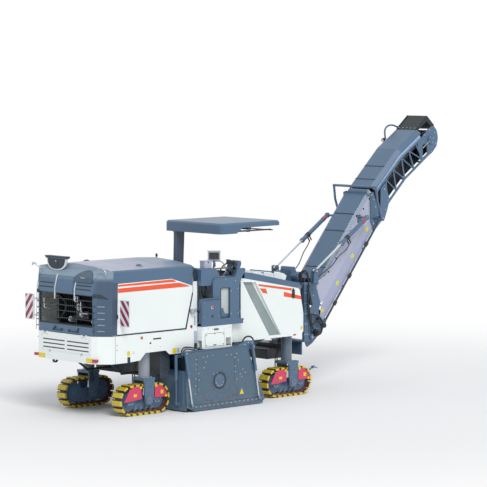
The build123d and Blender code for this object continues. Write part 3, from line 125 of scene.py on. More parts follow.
# Legs and main frame: thick steel plate and turned columns, welded up and sprayed in slate
# or dark slate machine paint. Paint shows softened edges, made slightly paler by rubbing and by a painted highlight,
# and road dust low down.
def finish(name, code, roughness=0.36, dust=0.30, dust_top=1.3, cloud=0.05, edge=0.35, marks=None):
    """A coat of paint or a bare skin with uneven tone, edges paler from rubbing and a painted highlight, dust and a
    fine ripple.

    marks(tree, place, colour) may lay other colours over parts of it and gives the new colour.
    """
    paint = bpy.data.materials.new(name)
    paint.use_nodes = True
    tree = paint.node_tree
    shader = tree.nodes["Principled BSDF"]
    place = add(tree, "TexCoord").outputs["Object"]
    # broad unevenness of the spray, patches about 0.7 m across
    patch = add(tree, "TexNoise", {"Vector": place, "Scale": 1.4, "Detail": 3.0}).outputs["Fac"]
    tone = add(tree, "MapRange", {"Value": patch, "From Min": 0.3, "From Max": 0.7,
                                  "To Min": 1.0 - cloud, "To Max": 1.0 + cloud}).outputs[0]
    colour = add(tree, "HueSaturation", {"Color": linear(code), "Value": tone}).outputs[0]
    if marks:
        colour = marks(tree, place, colour)
    # welded and folded edges are eased by about 4 mm and made a little paler, partly rubbed paint and partly a
    # painted highlight
    eased = add(tree, "Bevel", {"Radius": 0.004}, samples=4).outputs[0]
    facing = add(tree, "VectorMath", {0: eased, 1: add(tree, "NewGeometry").outputs["Normal"]},
                 operation="DOT_PRODUCT").outputs["Value"]
    rub_and_highlight = add(tree, "MapRange", {"Value": facing, "From Min": 0.97, "From Max": 0.80, "To Max": edge}).outputs[0]
    colour = add(tree, "Mix", {"Factor": rub_and_highlight, "A": colour, "B": linear("#c3ccd2")},
                 data_type="RGBA").outputs["Result"]
    # dust gathers in blotches about 60 mm across, most of it near the ground
    height = add(tree, "SeparateXYZ", {0: place}).outputs["Z"]
    low = add(tree, "MapRange", {"Value": height, "From Min": dust_top, "From Max": 0.05, "To Max": dust}).outputs[0]
    blotch = add(tree, "TexNoise", {"Vector": place, "Scale": 16.0, "Detail": 5.0, "Roughness": 0.65}).outputs["Fac"]
    film = add(tree, "MapRange", {"Value": blotch, "From Min": 0.42, "From Max": 0.70}).outputs[0]
    film = add(tree, "Math", {0: film, 1: low}, operation="MULTIPLY").outputs[0]
    colour = add(tree, "Mix", {"Factor": film, "A": colour, "B": linear("#8f8d86")},
                 data_type="RGBA").outputs["Result"]
    tree.links.new(colour, shader.inputs["Base Color"])
    dull = add(tree, "Math", {0: film, 1: 0.45, 2: roughness}, operation="MULTIPLY_ADD").outputs[0]
    tree.links.new(dull, shader.inputs["Roughness"])
    # orange peel, ripples about 6 mm apart, drawn a little coarser than the real 3 mm so that it shows
    ripple = add(tree, "TexNoise", {"Vector": place, "Scale": 160.0, "Detail": 1.0}).outputs["Fac"]
    skin = add(tree, "Bump", {"Height": ripple, "Strength": 0.12, "Distance": 0.0006, "Normal": eased})
    tree.links.new(skin.outputs[0], shader.inputs["Normal"])
    shader.inputs["IOR"].default_value = 1.5
    shader.inputs["Coat Weight"].default_value = 0.15
    shader.inputs["Coat Roughness"].default_value = 0.15
    return paint


def dress(material, *names):
    """Gives CAD nodes their finish."""
    for name in names:
        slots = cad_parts[name].data.materials
        slots.clear()
        slots.append(material)


SLATE, WHITE, DARK = "#4d6a86", "#eef4f2", "#2a3742"
slate_paint = finish("slate_two_pack_paint", SLATE)
dark_paint = finish("dark_slate_chassis_paint", DARK, roughness=0.45, dust=0.45)
LEGS = {"rear_right": (0.0, -0.85), "rear_left": (0.0, 0.85), "front_right": (4.03, -0.85),
        "front_left": (4.03, 0.85)}
COLUMN_AHEAD = {"rear_right": 0.09, "rear_left": 0.09, "front_right": 0.036, "front_left": 0.036}


def leg_colours_and_painted_shade(tree, place, colour):
    """A grey for the column above the slate fork, painted paler at the rear and darker at the front as painted light
    and shade, each matched to its tone in the photo.
    """
    height = add(tree, "SeparateXYZ", {0: place}).outputs["Z"]
    above = add(tree, "Math", {0: height, 1: 0.742}, operation="GREATER_THAN").outputs[0]
    ahead = add(tree, "SeparateXYZ", {0: place}).outputs["X"]
    # the front columns take the darker grey and the rear ones the paler: painted shade and painted light
    front = add(tree, "Math", {0: ahead, 1: -2.0}, operation="GREATER_THAN").outputs[0]
    column = add(tree, "Mix", {"Factor": front, "A": linear("#8f98a3"), "B": linear("#5a6b7b")},
                 data_type="RGBA").outputs["Result"]
    return add(tree, "Mix", {"Factor": above, "A": colour, "B": column}, data_type="RGBA").outputs["Result"]


leg_paint = finish("slate_fork_and_column_paint", SLATE, marks=leg_colours_and_painted_shade, dust=0.4)
dress(leg_paint, *["leg_" + leg for leg in LEGS])
dress(dark_paint, "main_frame", "frame_cross_members", "column_crossheads", "frame_boxes", "slew_lower_arm",
      "slew_upper_arm")

REAR = -3.98      # the rear track centres, from which all that follows is drawn
SIDES = ((-1, "right"), (1, "left"))


def coat(verts, material):
    """Gives every face at the corners its material."""
    for face in {face for vert in verts for face in vert.link_faces}:
        face.material_index = material


def slab(bm, lo, hi, material=0):
    """A box between two opposite corners."""
    made = bmesh.ops.create_cube(bm, size=1.0)["verts"]
    bmesh.ops.scale(bm, vec=[abs(b - a) for a, b in zip(lo, hi)], verts=made)
    bmesh.ops.translate(bm, vec=[(a + b) / 2 for a, b in zip(lo, hi)], verts=made)
    coat(made, material)
    return made


def rod(bm, p, q, r, sides=16, end_r=None, material=0):
    """A round bar or cone between two points."""
    p, q = Vector(p), Vector(q)
    made = bmesh.ops.create_cone(bm, cap_ends=True, segments=sides, radius1=r, radius2=r if end_r is None else end_r,
                                 depth=(q - p).length)["verts"]
    turn = (q - p).to_track_quat("Z", "Y").to_matrix().to_4x4()
    bmesh.ops.transform(bm, matrix=Matrix.Translation((p + q) / 2) @ turn, verts=made)
    coat(made, material)


def prism(bm, near, far, material=0):
    """A solid between two outlines that have the same number of points."""
    near, far = [[bm.verts.new(point) for point in outline] for outline in (near, far)]
    bm.faces.new(near)
    bm.faces.new(far[::-1])
    for a, b, c, d in zip(near, near[1:] + near[:1], far[1:] + far[:1], far):
        bm.faces.new((a, d, c, b))
    coat(near + far, material)


def cut_plate(bm, outline, y0, y1, material=0):
    """A plate whose outline is drawn from the side as X and Z."""
    prism(bm, [(x, y0, z) for x, z in outline], [(x, y1, z) for x, z in outline], material)


def bolt(bm, place, out, r, material=0):
    """A hexagon head with its washer, standing out of a plate along out."""
    place, out = Vector(place), Vector(out)
    rod(bm, place, place + out * r * 0.25, r * 1.45, 12, material=material)
    rod(bm, place + out * r * 0.2, place + out * r * 1.05, r, 6, material=material)


def bolts(bm, places, y, side, r, material=0):
    """Bolts at X and Z places on an upright plate at Y, standing out to the side."""
    for x, z in places:
        bolt(bm, (x, y, z), (0, side, 0), r, material)


def studs(bm, places, y0, y1, r, sides, material=0):
    """Round heads at X and Z places on an upright plate, from y0 out to y1."""
    for x, z in places:
        rod(bm, (x, y0, z), (x, y1, z), r, sides, material=material)


def circle(x, z, radius, count, start=0.0, step=None):
    """Points in X and Z round a circle, evenly spaced unless step gives their angle."""
    turns = [start + n * (step or 2 * math.pi / count) for n in range(count)]
    return [(x + radius * math.cos(t), z + radius * math.sin(t)) for t in turns]


def piece(name, bm, body, *materials, edge=0.0, slot=None, round_over=34):
    """Puts a drawn mesh into the scene on its body, with eased edges where edge gives their width."""
    bmesh.ops.translate(bm, vec=(REAR, 0, 0), verts=bm.verts)
    bmesh.ops.recalc_face_normals(bm, faces=bm.faces)
    mesh = bpy.data.meshes.new(name)
    bm.to_mesh(mesh)
    bm.free()
    for material in materials:
        mesh.materials.append(material)
    for face in mesh.polygons:
        face.use_smooth = True
    mesh.set_sharp_from_angle(angle=math.radians(round_over))
    made = bpy.data.objects.new(name, mesh)
    bpy.context.scene.collection.objects.link(made)
    if edge:
        eased = made.modifiers.new("eased_edges", "BEVEL")
        eased.width = edge
        eased.segments = 2
        eased.limit_method = "ANGLE"
        eased.angle_limit = math.radians(40)
        eased.harden_normals = True
    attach(made, body)
    return made


# Crawler tracks: cast pads sprayed yellow, bolted to a dark red chain that runs on slate idlers,
# and bent guards in crimson over both ends, with yellow rub pads and blank yellow stickers.
TRACK_END_X, TRACK_MID_Z, CHAIN_OUT = 0.355, 0.31, 0.268
STRAIGHT, ARC, PADS = 2 * TRACK_END_X, math.pi * CHAIN_OUT, 20    # one run, one bend, and the pads of a loop
PAD_PITCH = 2 * (STRAIGHT + ARC) / PADS
AXLE_STEP = LEGS["front_right"][0]


def shoe_colours(tree, place, colour):
    """Dark red on the chain inside the pads, painted shade in dark bands beside the gaps, and scuffs on the outer
    faces.
    """
    parts = add(tree, "SeparateXYZ", {0: place}).outputs
    spans = []
    for centre in (REAR, REAR + AXLE_STEP):
        away = add(tree, "Math", {0: parts["X"], 1: centre}, operation="SUBTRACT").outputs[0]
        spans.append(add(tree, "Math", {0: away}, operation="ABSOLUTE").outputs[0])
    along = add(tree, "Math", {0: spans[0], 1: spans[1]}, operation="MINIMUM").outputs[0]
    over = add(tree, "Math", {0: along, 1: TRACK_END_X}, operation="SUBTRACT").outputs[0]
    over = add(tree, "Math", {0: over, 1: 0.0}, operation="MAXIMUM").outputs[0]
    rise = add(tree, "Math", {0: parts["Z"], 1: TRACK_MID_Z}, operation="SUBTRACT").outputs[0]
    reach = add(tree, "VectorMath", {0: add(tree, "CombineXYZ", {"X": over, "Y": rise}).outputs[0]},
                operation="LENGTH").outputs["Value"]
    chain = add(tree, "MapRange", {"Value": reach, "From Min": CHAIN_OUT - 0.006,
                                   "From Max": CHAIN_OUT - 0.012}).outputs[0]
    colour = add(tree, "Mix", {"Factor": chain, "A": colour, "B": linear("#5a1424")},
                 data_type="RGBA").outputs["Result"]
    # painted shade: dark bands along the pads' edges, counted along the loop, which make the gaps look as wide as in
    # the photo
    ahead = add(tree, "Math", {0: parts["X"], 1: REAR + AXLE_STEP / 2}, operation="GREATER_THAN").outputs[0]
    local = add(tree, "Math", {0: ahead, 1: -AXLE_STEP, 2: parts["X"]}, operation="MULTIPLY_ADD").outputs[0]
    local = add(tree, "Math", {0: local, 1: REAR}, operation="SUBTRACT").outputs[0]
    held = add(tree, "Clamp", {"Value": local, "Min": -TRACK_END_X, "Max": TRACK_END_X}).outputs[0]
    beyond = add(tree, "Math", {0: local, 1: held}, operation="SUBTRACT").outputs[0]
    down = add(tree, "Math", {0: rise, 1: -1.0}, operation="MULTIPLY").outputs[0]
    angle = add(tree, "Math", {0: beyond, 1: down}, operation="ARCTAN2").outputs[0]
    run = add(tree, "Math", {0: angle, 1: CHAIN_OUT, 2: held}, operation="MULTIPLY_ADD").outputs[0]
    upper = add(tree, "Math", {0: rise, 1: 0.0}, operation="GREATER_THAN").outputs[0]
    level = add(tree, "Math", {0: along, 1: TRACK_END_X}, operation="LESS_THAN").outputs[0]
    top = add(tree, "Math", {0: upper, 1: level}, operation="MULTIPLY").outputs[0]
    back = add(tree, "Math", {0: TRACK_END_X, 1: held}, operation="SUBTRACT").outputs[0]
    back = add(tree, "Math", {0: back, 1: top}, operation="MULTIPLY").outputs[0]
    run = add(tree, "Math", {0: back, 1: 2.0, 2: run}, operation="MULTIPLY_ADD").outputs[0]
    run = add(tree, "Math", {0: run, 1: TRACK_END_X}, operation="ADD").outputs[0]
    turn = add(tree, "Math", {0: run, 1: PAD_PITCH}, operation="FLOORED_MODULO").outputs[0]
    off = add(tree, "Math", {0: turn, 1: PAD_PITCH / 2}, operation="SUBTRACT").outputs[0]
    off = add(tree, "Math", {0: off}, operation="ABSOLUTE").outputs[0]
    gap_shade = add(tree, "MapRange", {"Value": off, "From Min": 0.046, "From Max": 0.050}).outputs[0]
    colour = add(tree, "Mix", {"Factor": gap_shade, "A": colour, "B": linear("#4a141e")},
                 data_type="RGBA").outputs["Result"]
    # paint is scuffed off the pads' outer faces in streaks about 25 mm wide
    scuff = add(tree, "TexNoise", {"Vector": place, "Scale": 38.0, "Detail": 6.0, "Roughness": 0.7}).outputs["Fac"]
    worn = add(tree, "MapRange", {"Value": reach, "From Min": 0.290, "From Max": 0.312, "To Max": 0.9}).outputs[0]
    bare = add(tree, "MapRange", {"Value": scuff, "From Min": 0.50, "From Max": 0.62}).outputs[0]
    bare = add(tree, "Math", {0: bare, 1: worn}, operation="MULTIPLY").outputs[0]
    return add(tree, "Mix", {"Factor": bare, "A": colour, "B": linear("#3d342a")}, data_type="RGBA").outputs["Result"]


def guard_colours(tree, place, colour):
    """Crimson on the guards, which lie beyond the pads' outer ends."""
    side = add(tree, "Math", {0: add(tree, "SeparateXYZ", {0: place}).outputs["Y"]}, operation="ABSOLUTE").outputs[0]
    outer = add(tree, "Math", {0: side, 1: 0.9815}, operation="GREATER_THAN").outputs[0]
    return add(tree, "Mix", {"Factor": outer, "A": colour, "B": linear("#d63a63")},
               data_type="RGBA").outputs["Result"]


shoe_paint = finish("worn_yellow_pad_paint", "#dcc61c", roughness=0.5, dust=0.35, dust_top=0.7, marks=shoe_colours)
guard_paint = finish("crimson_guard_paint", SLATE, dust=0.25, dust_top=0.6, marks=guard_colours)
dress(shoe_paint, *["track_shoes_" + leg for leg in LEGS])
dress(guard_paint, *["track_frame_" + leg for leg in LEGS])
sticker = finish("printed_yellow_film", "#e3cf2a", roughness=0.3, dust=0.1, edge=0.0)
zinc_bolt = finish("zinc_plated_bolt_steel", "#aeb6bd", roughness=0.3, dust=0.3, edge=0.1)
zinc_bolt.node_tree.nodes["Principled BSDF"].inputs["Metallic"].default_value = 0.8
pad_red = finish("dark_red_chain_paint", "#6b1a2c", roughness=0.5, dust=0.3, dust_top=0.7)
for leg, (x, y) in LEGS.items():
    side = -1 if y < 0 else 1
    bm = bmesh.new()
    # two bolts to a pad, on its raised bar
    for pad in range(PADS):
        ends = []
        for s in (pad * PAD_PITCH, (pad + 1) * PAD_PITCH):
            s = s % (2 * STRAIGHT + 2 * ARC)
            if s < STRAIGHT:
                ends.append((-TRACK_END_X + s, -CHAIN_OUT))
            elif s < STRAIGHT + ARC:
                a = (s - STRAIGHT) / CHAIN_OUT
                ends.append((TRACK_END_X + CHAIN_OUT * math.sin(a), -CHAIN_OUT * math.cos(a)))
            elif s < 2 * STRAIGHT + ARC:
                ends.append((TRACK_END_X - (s - STRAIGHT - ARC), CHAIN_OUT))
            else:
                a = (s - 2 * STRAIGHT - ARC) / CHAIN_OUT
                ends.append((-TRACK_END_X - CHAIN_OUT * math.sin(a), CHAIN_OUT * math.cos(a)))
        (ax, az), (bx, bz) = ends
        run = math.hypot(bx - ax, bz - az)
        out = Vector(((bz - az) / run, 0, -(bx - ax) / run))
        middle = Vector((x + (ax + bx) / 2, y, TRACK_MID_Z + (az + bz) / 2))
        if out.z < -0.95:
            continue
        for across in (-0.085, 0.085):
            foot = middle + out * 0.0415 + Vector((0, across, 0))
            rod(bm, foot, foot + out * 0.004, 0.015, 10)
    piece("pad_bolts_" + leg, bm, "leg_" + leg, zinc_bolt)
    bm = bmesh.new()
    face = y + side * (0.13 + 0.0145)
    back, front = face - side * 0.001, face + side * 0.002
    for sx, sz, wide, tall in ((-0.27, 0.41, 0.085, 0.055), (0.44, 0.43, 0.075, 0.075)):
        slab(bm, (x + sx - wide / 2, back, sz - tall / 2), (x + sx + wide / 2, front, sz + tall / 2))
    back, front = face - side * 0.012, face + side * 0.014
    for sx, sz in ((-0.125, 0.555), (0.275, 0.565), (0.545, 0.345)):
        slab(bm, (x + sx - 0.026, back, sz - 0.024), (x + sx + 0.026, front, sz + 0.024))
    piece("guard_pads_and_stickers_" + leg, bm, "leg_" + leg, sticker, edge=0.003)
    bm = bmesh.new()
    # hub caps on both idlers and a bolted cap on the fork's pin
    for hx in (-TRACK_END_X, TRACK_END_X):
        a, b = y + side * 0.072, y + side * 0.1
        rod(bm, (x + hx, a, TRACK_MID_Z), (x + hx, b, TRACK_MID_Z), 0.105, 28)
        rod(bm, (x + hx, b, TRACK_MID_Z), (x + hx, y + side * 0.112, TRACK_MID_Z), 0.06, 24, end_r=0.045)
        bolts(bm, circle(x + hx, TRACK_MID_Z, 0.083, 6), b, side, 0.009, 1)
    for s in (-1, 1):
        bolts(bm, circle(x + 0.07, 0.29, 0.055, 6, start=math.pi / 6), y + s * 0.198, s, 0.008, 1)
    for n in range(4):
        rx = x - 0.21 + 0.14 * n
        rod(bm, (rx, y + side * 0.06, 0.1434), (rx, y + side * 0.082, 0.1434), 0.036, 20)
    # the fork's stiffening ribs, flange bolts and the two small holes' plugs
    for s in (-1, 1):
        cut_plate(bm, [(x - 0.035, 0.69), (x + 0.175, 0.69), (x + 0.165, 0.45), (x + 0.145, 0.43), (x - 0.01, 0.43),
                       (x - 0.03, 0.45)], y + s * 0.1835, y + s * 0.190)
        for hx in (0.045, 0.09):
            rod(bm, (x + hx, y + s * 0.189, 0.56), (x + hx, y + s * 0.1925, 0.56), 0.012, 12, material=2)
    for ahead, left in circle(x + COLUMN_AHEAD[leg], y, 0.143, 16):
        bolt(bm, (ahead, left, 0.74), (0, 0, 1), 0.010, material=1)
    piece("hubs_and_fork_ribs_" + leg, bm, "leg_" + leg, slate_paint, zinc_bolt, dark_paint, edge=0.002)


# Body panels: folded sheet steel sprayed satin white below and moulded slate skins above.
# The finishes that several sections share are made here and laid on the CAD's pieces.
def lit(tree, value, lo, hi):
    """1 where value lies between lo and hi."""
    over = add(tree, "Math", {0: value, 1: lo}, operation="GREATER_THAN").outputs[0]
    under = add(tree, "Math", {0: value, 1: hi}, operation="LESS_THAN").outputs[0]
    return add(tree, "Math", {0: over, 1: under}, operation="MULTIPLY").outputs[0]


white_paint = finish("satin_white_panel_paint", WHITE, roughness=0.30, dust=0.20, cloud=0.02)


def skin_tones(tree, place, colour):
    """The photo's light and shade as colour: paler on the rear slope and lid, darker on the rear flanks."""
    parts = add(tree, "SeparateXYZ", {0: place}).outputs
    rear = add(tree, "Math", {0: parts["X"], 1: REAR - 0.93}, operation="LESS_THAN").outputs[0]
    slope = add(tree, "MapRange", {"Value": parts["Z"], "From Min": 2.70, "From Max": 2.80}).outputs[0]
    side = add(tree, "Math", {0: parts["Y"]}, operation="ABSOLUTE").outputs[0]
    outer = add(tree, "MapRange", {"Value": side, "From Min": 0.80, "From Max": 0.92}).outputs[0]
    below = add(tree, "Math", {0: 1.0, 1: slope}, operation="SUBTRACT").outputs[0]
    flank = add(tree, "Math", {0: outer, 1: below}, operation="MULTIPLY").outputs[0]
    for mask, tone in ((slope, "#8299aa"), (flank, "#42566c")):
        mask = add(tree, "Math", {0: mask, 1: rear}, operation="MULTIPLY").outputs[0]
        colour = add(tree, "Mix", {"Factor": mask, "A": colour, "B": linear(tone)},
                     data_type="RGBA").outputs["Result"]
    high = lit(tree, parts["Z"], 2.928, 3.10)
    back = add(tree, "MapRange", {"Value": parts["X"], "From Min": REAR - 0.4, "From Max": REAR + 1.1, "To Min": 1.0,
                                  "To Max": 0.25}).outputs[0]
    mask = add(tree, "Math", {0: high, 1: back}, operation="MULTIPLY").outputs[0]
    return add(tree, "Mix", {"Factor": mask, "A": colour, "B": linear("#a2a8bd")}, data_type="RGBA").outputs["Result"]


moulding = finish("slate_moulded_hood_skin", SLATE, roughness=0.42, dust=0.1, marks=skin_tones)
black_plastic = finish("black_grille_plastic", "#191c1f", roughness=0.5, dust=0.15)
rubber = finish("black_conveyor_rubber", "#1d262b", roughness=0.62, dust=0.25, edge=0.15)
lavender = finish("lavender_cover_paint", "#b2b5cb", roughness=0.34, cloud=0.03)
pale_blue = finish("pale_blue_cover_paint", "#9bb4d4", roughness=0.34)
engine_grey = finish("grey_engine_casting_paint", "#33383c", roughness=0.55)
drum_steel = finish("worn_drum_steel", "#4a4e52", roughness=0.5, dust=0.7)
drum_steel.node_tree.nodes["Principled BSDF"].inputs["Metallic"].default_value = 0.6
chrome = finish("chromed_rod", "#d5dade", roughness=0.1, dust=0.02, edge=0.0)
chrome.node_tree.nodes["Principled BSDF"].inputs["Metallic"].default_value = 1.0


def lamp_red(tree, place, colour):
    """Red lenses on the lamps beyond the vent."""
    side = add(tree, "Math", {0: add(tree, "SeparateXYZ", {0: place}).outputs["Y"]}, operation="ABSOLUTE").outputs[0]
    return add(tree, "Mix", {"Factor": lit(tree, side, 0.8, 1.2), "A": colour, "B": linear("#b8203f")},
               data_type="RGBA").outputs["Result"]


lamp_plastic = finish("red_lamp_lens_and_black_vent", "#191c1f", roughness=0.25, dust=0.1, marks=lamp_red)
orange_film = finish("orange_stripe_film", "#f0572b", roughness=0.28, dust=0.05, edge=0.0)
# a darker copy of the slate moulding: its darker tone is painted shade
shaded_slate = finish("slate_moulded_rear_skin_painted_shade", "#3f546b", roughness=0.42, dust=0.1)
seam_black = finish("black_seam_rubber", "#23303c", roughness=0.6, dust=0.05, edge=0.0)
bright_trim = finish("bright_anodised_trim", "#dfe3e6", roughness=0.25, dust=0.02, edge=0.1)
amber_lens = finish("amber_lamp_lens", "#e08426", roughness=0.15, dust=0.0, edge=0.0)
red_button = finish("red_switch_plastic", "#c9303c", roughness=0.25, dust=0.0, edge=0.0)
pale_lid = finish("pale_slate_hood_lid", "#93a1b3", roughness=0.4, dust=0.05)
grey_bezel = finish("grey_monitor_bezel", "#a3abb0", roughness=0.45, dust=0.05)
screen_glass = finish("dark_screen_glass", "#20262c", roughness=0.08, dust=0.03, edge=0.0)
seat_leather = finish("black_seat_leather", "#222427", roughness=0.55, dust=0.1, edge=0.1)
window_lining = finish("pale_grey_lining_sheet", "#bcc5c4", roughness=0.5, cloud=0.15)
recess_shade_grey = finish("grey_recess_painted_shade", "#8c9999", roughness=0.5, dust=0.2, cloud=0.12)
# grey for the back of the front panels' recess, which is painted shade
cover_shade = finish("shaded_cover_strip_paint", "#a4abc4", roughness=0.34, cloud=0.03)
dress(white_paint, "lower_body_panels", "hood_side_panels", "service_cabinets", "front_side_panels")
dress(lamp_plastic, "rear_vent_and_lamps")
dress(black_plastic, "hood_grille")
dress(moulding, "hood_rear_shell", "hood_top_panel", "canopy_roof")
dress(slate_paint, "platform_side_walls", "operator_consoles", "front_deck", "drum_housing", "loading_conveyor",
      "side_plate_left", "slew_yoke", "conveyor_lower_frame", "conveyor_hoop", "conveyor_upper_truss",
      "scraper_blade", "cylinder_lugs", "conveyor_top_cover", "conveyor_upper_cover", "lift_barrels",
      "platform_floor")


def plate_rods(tree, place, colour):
    """The side plate's two bright lift rods stand clear of its face."""
    parts = add(tree, "SeparateXYZ", {0: place}).outputs
    proud = add(tree, "Math", {0: parts["Y"], 1: -1.3665}, operation="LESS_THAN").outputs[0]
    above = add(tree, "Math", {0: parts["Z"], 1: 0.172}, operation="GREATER_THAN").outputs[0]
    mask = add(tree, "Math", {0: proud, 1: above}, operation="MULTIPLY").outputs[0]
    return add(tree, "Mix", {"Factor": mask, "A": colour, "B": linear("#d2d7db")}, data_type="RGBA").outputs["Result"]


dress(finish("slate_side_plate_paint", "#4a6479", dust=0.35, dust_top=0.9, marks=plate_rods), "side_plate_right")
dress(shaded_slate, "canopy_post")
dress(lavender, "conveyor_side_covers")
dress(pale_blue, "conveyor_upper_sides")
dress(rubber, "loading_belt", "conveyor_lower_belt", "conveyor_upper_belt", "head_hood", "steering_wheel",
      "operator_seat")
dress(engine_grey, "engine_block")
dress(drum_steel, "milling_drum")
dress(chrome, "lift_rods")


# Rear of the hood: one moulded skin that slopes forward to the top, with two bright guide bars, a bare
# centre panel, louvre slots, and an open grille of thin bars in front of the cooler and engine.
REAR_SKIN = [(1.655, -1.240), (2.543, -1.216), (2.782, -1.154), (2.880, -1.050), (2.940, -0.940)]


def rear_x(z):
    """X of the hood's rear skin at a height."""
    for (za, xa), (zb, xb) in zip(REAR_SKIN, REAR_SKIN[1:]):
        if z <= zb:
            return xa + (xb - xa) * (z - za) / (zb - za)
    return REAR_SKIN[-1][1]


def draped(bm, rows, lift, material=0, sink=0.006):
    """A strip that follows the rear skin. rows are height, left Y and right Y, from the bottom up."""
    full = list(rows)
    for z, _ in REAR_SKIN[1:-1]:
        for (za, la, ra), (zb, lb, rb) in zip(rows, rows[1:]):
            if za < z < zb:
                t = (z - za) / (zb - za)
                full.append((z, la + (lb - la) * t, ra + (rb - ra) * t))
    full.sort()
    rings = []
    for z, left, right in full:
        rings.append([bm.verts.new((rear_x(z) - lift, left, z)), bm.verts.new((rear_x(z) - lift, right, z)),
                      bm.verts.new((rear_x(z) + sink, right, z)), bm.verts.new((rear_x(z) + sink, left, z))])
    made = [bm.faces.new(rings[0]), bm.faces.new(rings[-1][::-1])]
    for low, high in zip(rings, rings[1:]):
        for n in range(4):
            made.append(bm.faces.new((low[n], high[n], high[(n + 1) % 4], low[(n + 1) % 4])))
    for face in made:
        face.material_index = material


def tube(name, points, r, body, material, sides=3):
    """A bent bar, pipe or hose along a smooth line through the neighbourhood of its points."""
    line = bpy.data.curves.new(name, "CURVE")
    line.dimensions = "3D"
    run = line.splines.new("NURBS")
    run.points.add(len(points) - 1)
    for point, (x, y, z) in zip(run.points, points):
        point.co = (x + REAR, y, z, 1.0)
    run.order_u = 3
    run.use_endpoint_u = True
    line.resolution_u = 6
    line.bevel_depth = r
    line.bevel_resolution = sides
    line.use_fill_caps = True
    line.materials.append(material)
    made = bpy.data.objects.new(name, line)
    bpy.context.scene.collection.objects.link(made)
    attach(made, body)
    return made


def hoses(body, rows, side=1):
    """Rubber hoses on one body. A row is name, radius and route, whose Y turns with the side."""
    for name, r, route in rows:
        tube(name, [(x, side * y, z) for x, y, z in route], r, body, rubber)


bm = bmesh.new()
draped(bm, [(2.445, 0.300, -0.212), (2.660, 0.300, -0.212), (2.715, 0.255, -0.212), (2.738, 0.225, -0.212)], 0.012, 0)
draped(bm, [(2.452, 0.870, 0.365), (2.680, 0.850, 0.365)], 0.004, 0)
draped(bm, [(2.452, -0.300, -0.850), (2.680, -0.300, -0.800)], 0.004, 0)
for z in (2.541, 2.624):
    draped(bm, [(z - 0.014, 0.821, 0.386), (z + 0.014, 0.815, 0.386)], 0.006, 1)
for z in (2.548, 2.620):
    draped(bm, [(z - 0.014, -0.309, -0.774), (z + 0.014, -0.309, -0.765)], 0.006, 1)
# seams of the skin: across below the slope, and up both sides of it
draped(bm, [(2.755, 0.912, 0.345), (2.762, 0.912, 0.345)], 0.0015, 1)
draped(bm, [(2.764, 0.320, -0.262), (2.771, 0.320, -0.262)], 0.0015, 1)
draped(bm, [(2.777, -0.280, -0.744), (2.784, -0.280, -0.744)], 0.0015, 1)
draped(bm, [(2.635, 0.900, 0.893), (2.938, 0.812, 0.805)], 0.0015, 1)
draped(bm, [(2.668, -0.770, -0.777), (2.938, -0.900, -0.907)], 0.0015, 1)
draped(bm, [(1.662, 0.905, 0.899), (2.635, 0.900, 0.893)], 0.0015, 1)
draped(bm, [(1.662, -0.872, -0.878), (2.668, -0.770, -0.777)], 0.0015, 1)
piece("rear_skin_panels_and_seams", bm, "hood", moulding, seam_black, edge=0.0015, slot="slate_moulding")
bm = bmesh.new()
# rounded cover of the air intake, darker in the slate of painted shade, with its small handle
rows = []
for n in range(9):
    up = n / 8
    half = 0.286 * math.sqrt(max(1 - up ** 2.2, 0.02))
    rows.append((2.690 + 0.222 * up, -0.484 + half, -0.484 - half))
draped(bm, rows, 0.026, 0)
slab(bm, (-1.205, -0.56, 2.766), (-1.180, -0.43, 2.784), 1)
draped(bm, [(2.690, -0.205, -0.772), (2.700, -0.205, -0.772)], 0.030, 0)
piece("rear_air_intake_cover", bm, "hood", shaded_slate, zinc_bolt, edge=0.006, slot="slate_moulding")
bm = bmesh.new()
for y, low, high in ((0.332, 2.313, 2.809), (-0.274, 2.318, 2.829)):
    draped(bm, [(low, y + 0.0095, y - 0.0095), (high, y + 0.0095, y - 0.0095)], 0.014, 0)
    for z in (low + 0.03, 2.50, high - 0.02):
        rod(bm, (rear_x(z) - 0.016, y, z), (rear_x(z) - 0.010, y, z), 0.006, 10, material=1)
piece("rear_guide_bars", bm, "hood", bright_trim, zinc_bolt, edge=0.003)
bm = bmesh.new()
# grille: thin bars across the mouth, their frame, and two bent catch rods behind
for z in (1.832, 1.950, 2.092, 2.206, 2.330):
    slab(bm, (-1.214, -0.818, z - 0.008), (-1.196, 0.818, z + 0.008), 0)
for y in (-0.808, -0.30, 0.30, 0.808):
    slab(bm, (-1.198, y - 0.008, 1.817), (-1.186, y + 0.008, 2.438), 0)
for z in (1.822, 2.433):
    slab(bm, (-1.214, -0.818, z - 0.006), (-1.186, 0.818, z + 0.006), 0)
grille = piece("hood_grille_bars", bm, "hood", black_plastic, edge=0.002, slot="grille_black")
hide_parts("hood_grille")
tube("grille_catch_rod_left", [(-1.17, 0.735, 2.30), (-1.17, 0.735, 2.12), (-1.17, 0.70, 2.09), (-1.17, 0.56, 2.09)],
     0.010, "hood", bright_trim)
tube("grille_catch_rod_right", [(-1.17, -0.40, 2.30), (-1.17, -0.40, 2.10), (-1.17, -0.45, 2.075),
                                (-1.17, -0.60, 2.07)], 0.010, "hood", bright_trim)
bm = bmesh.new()
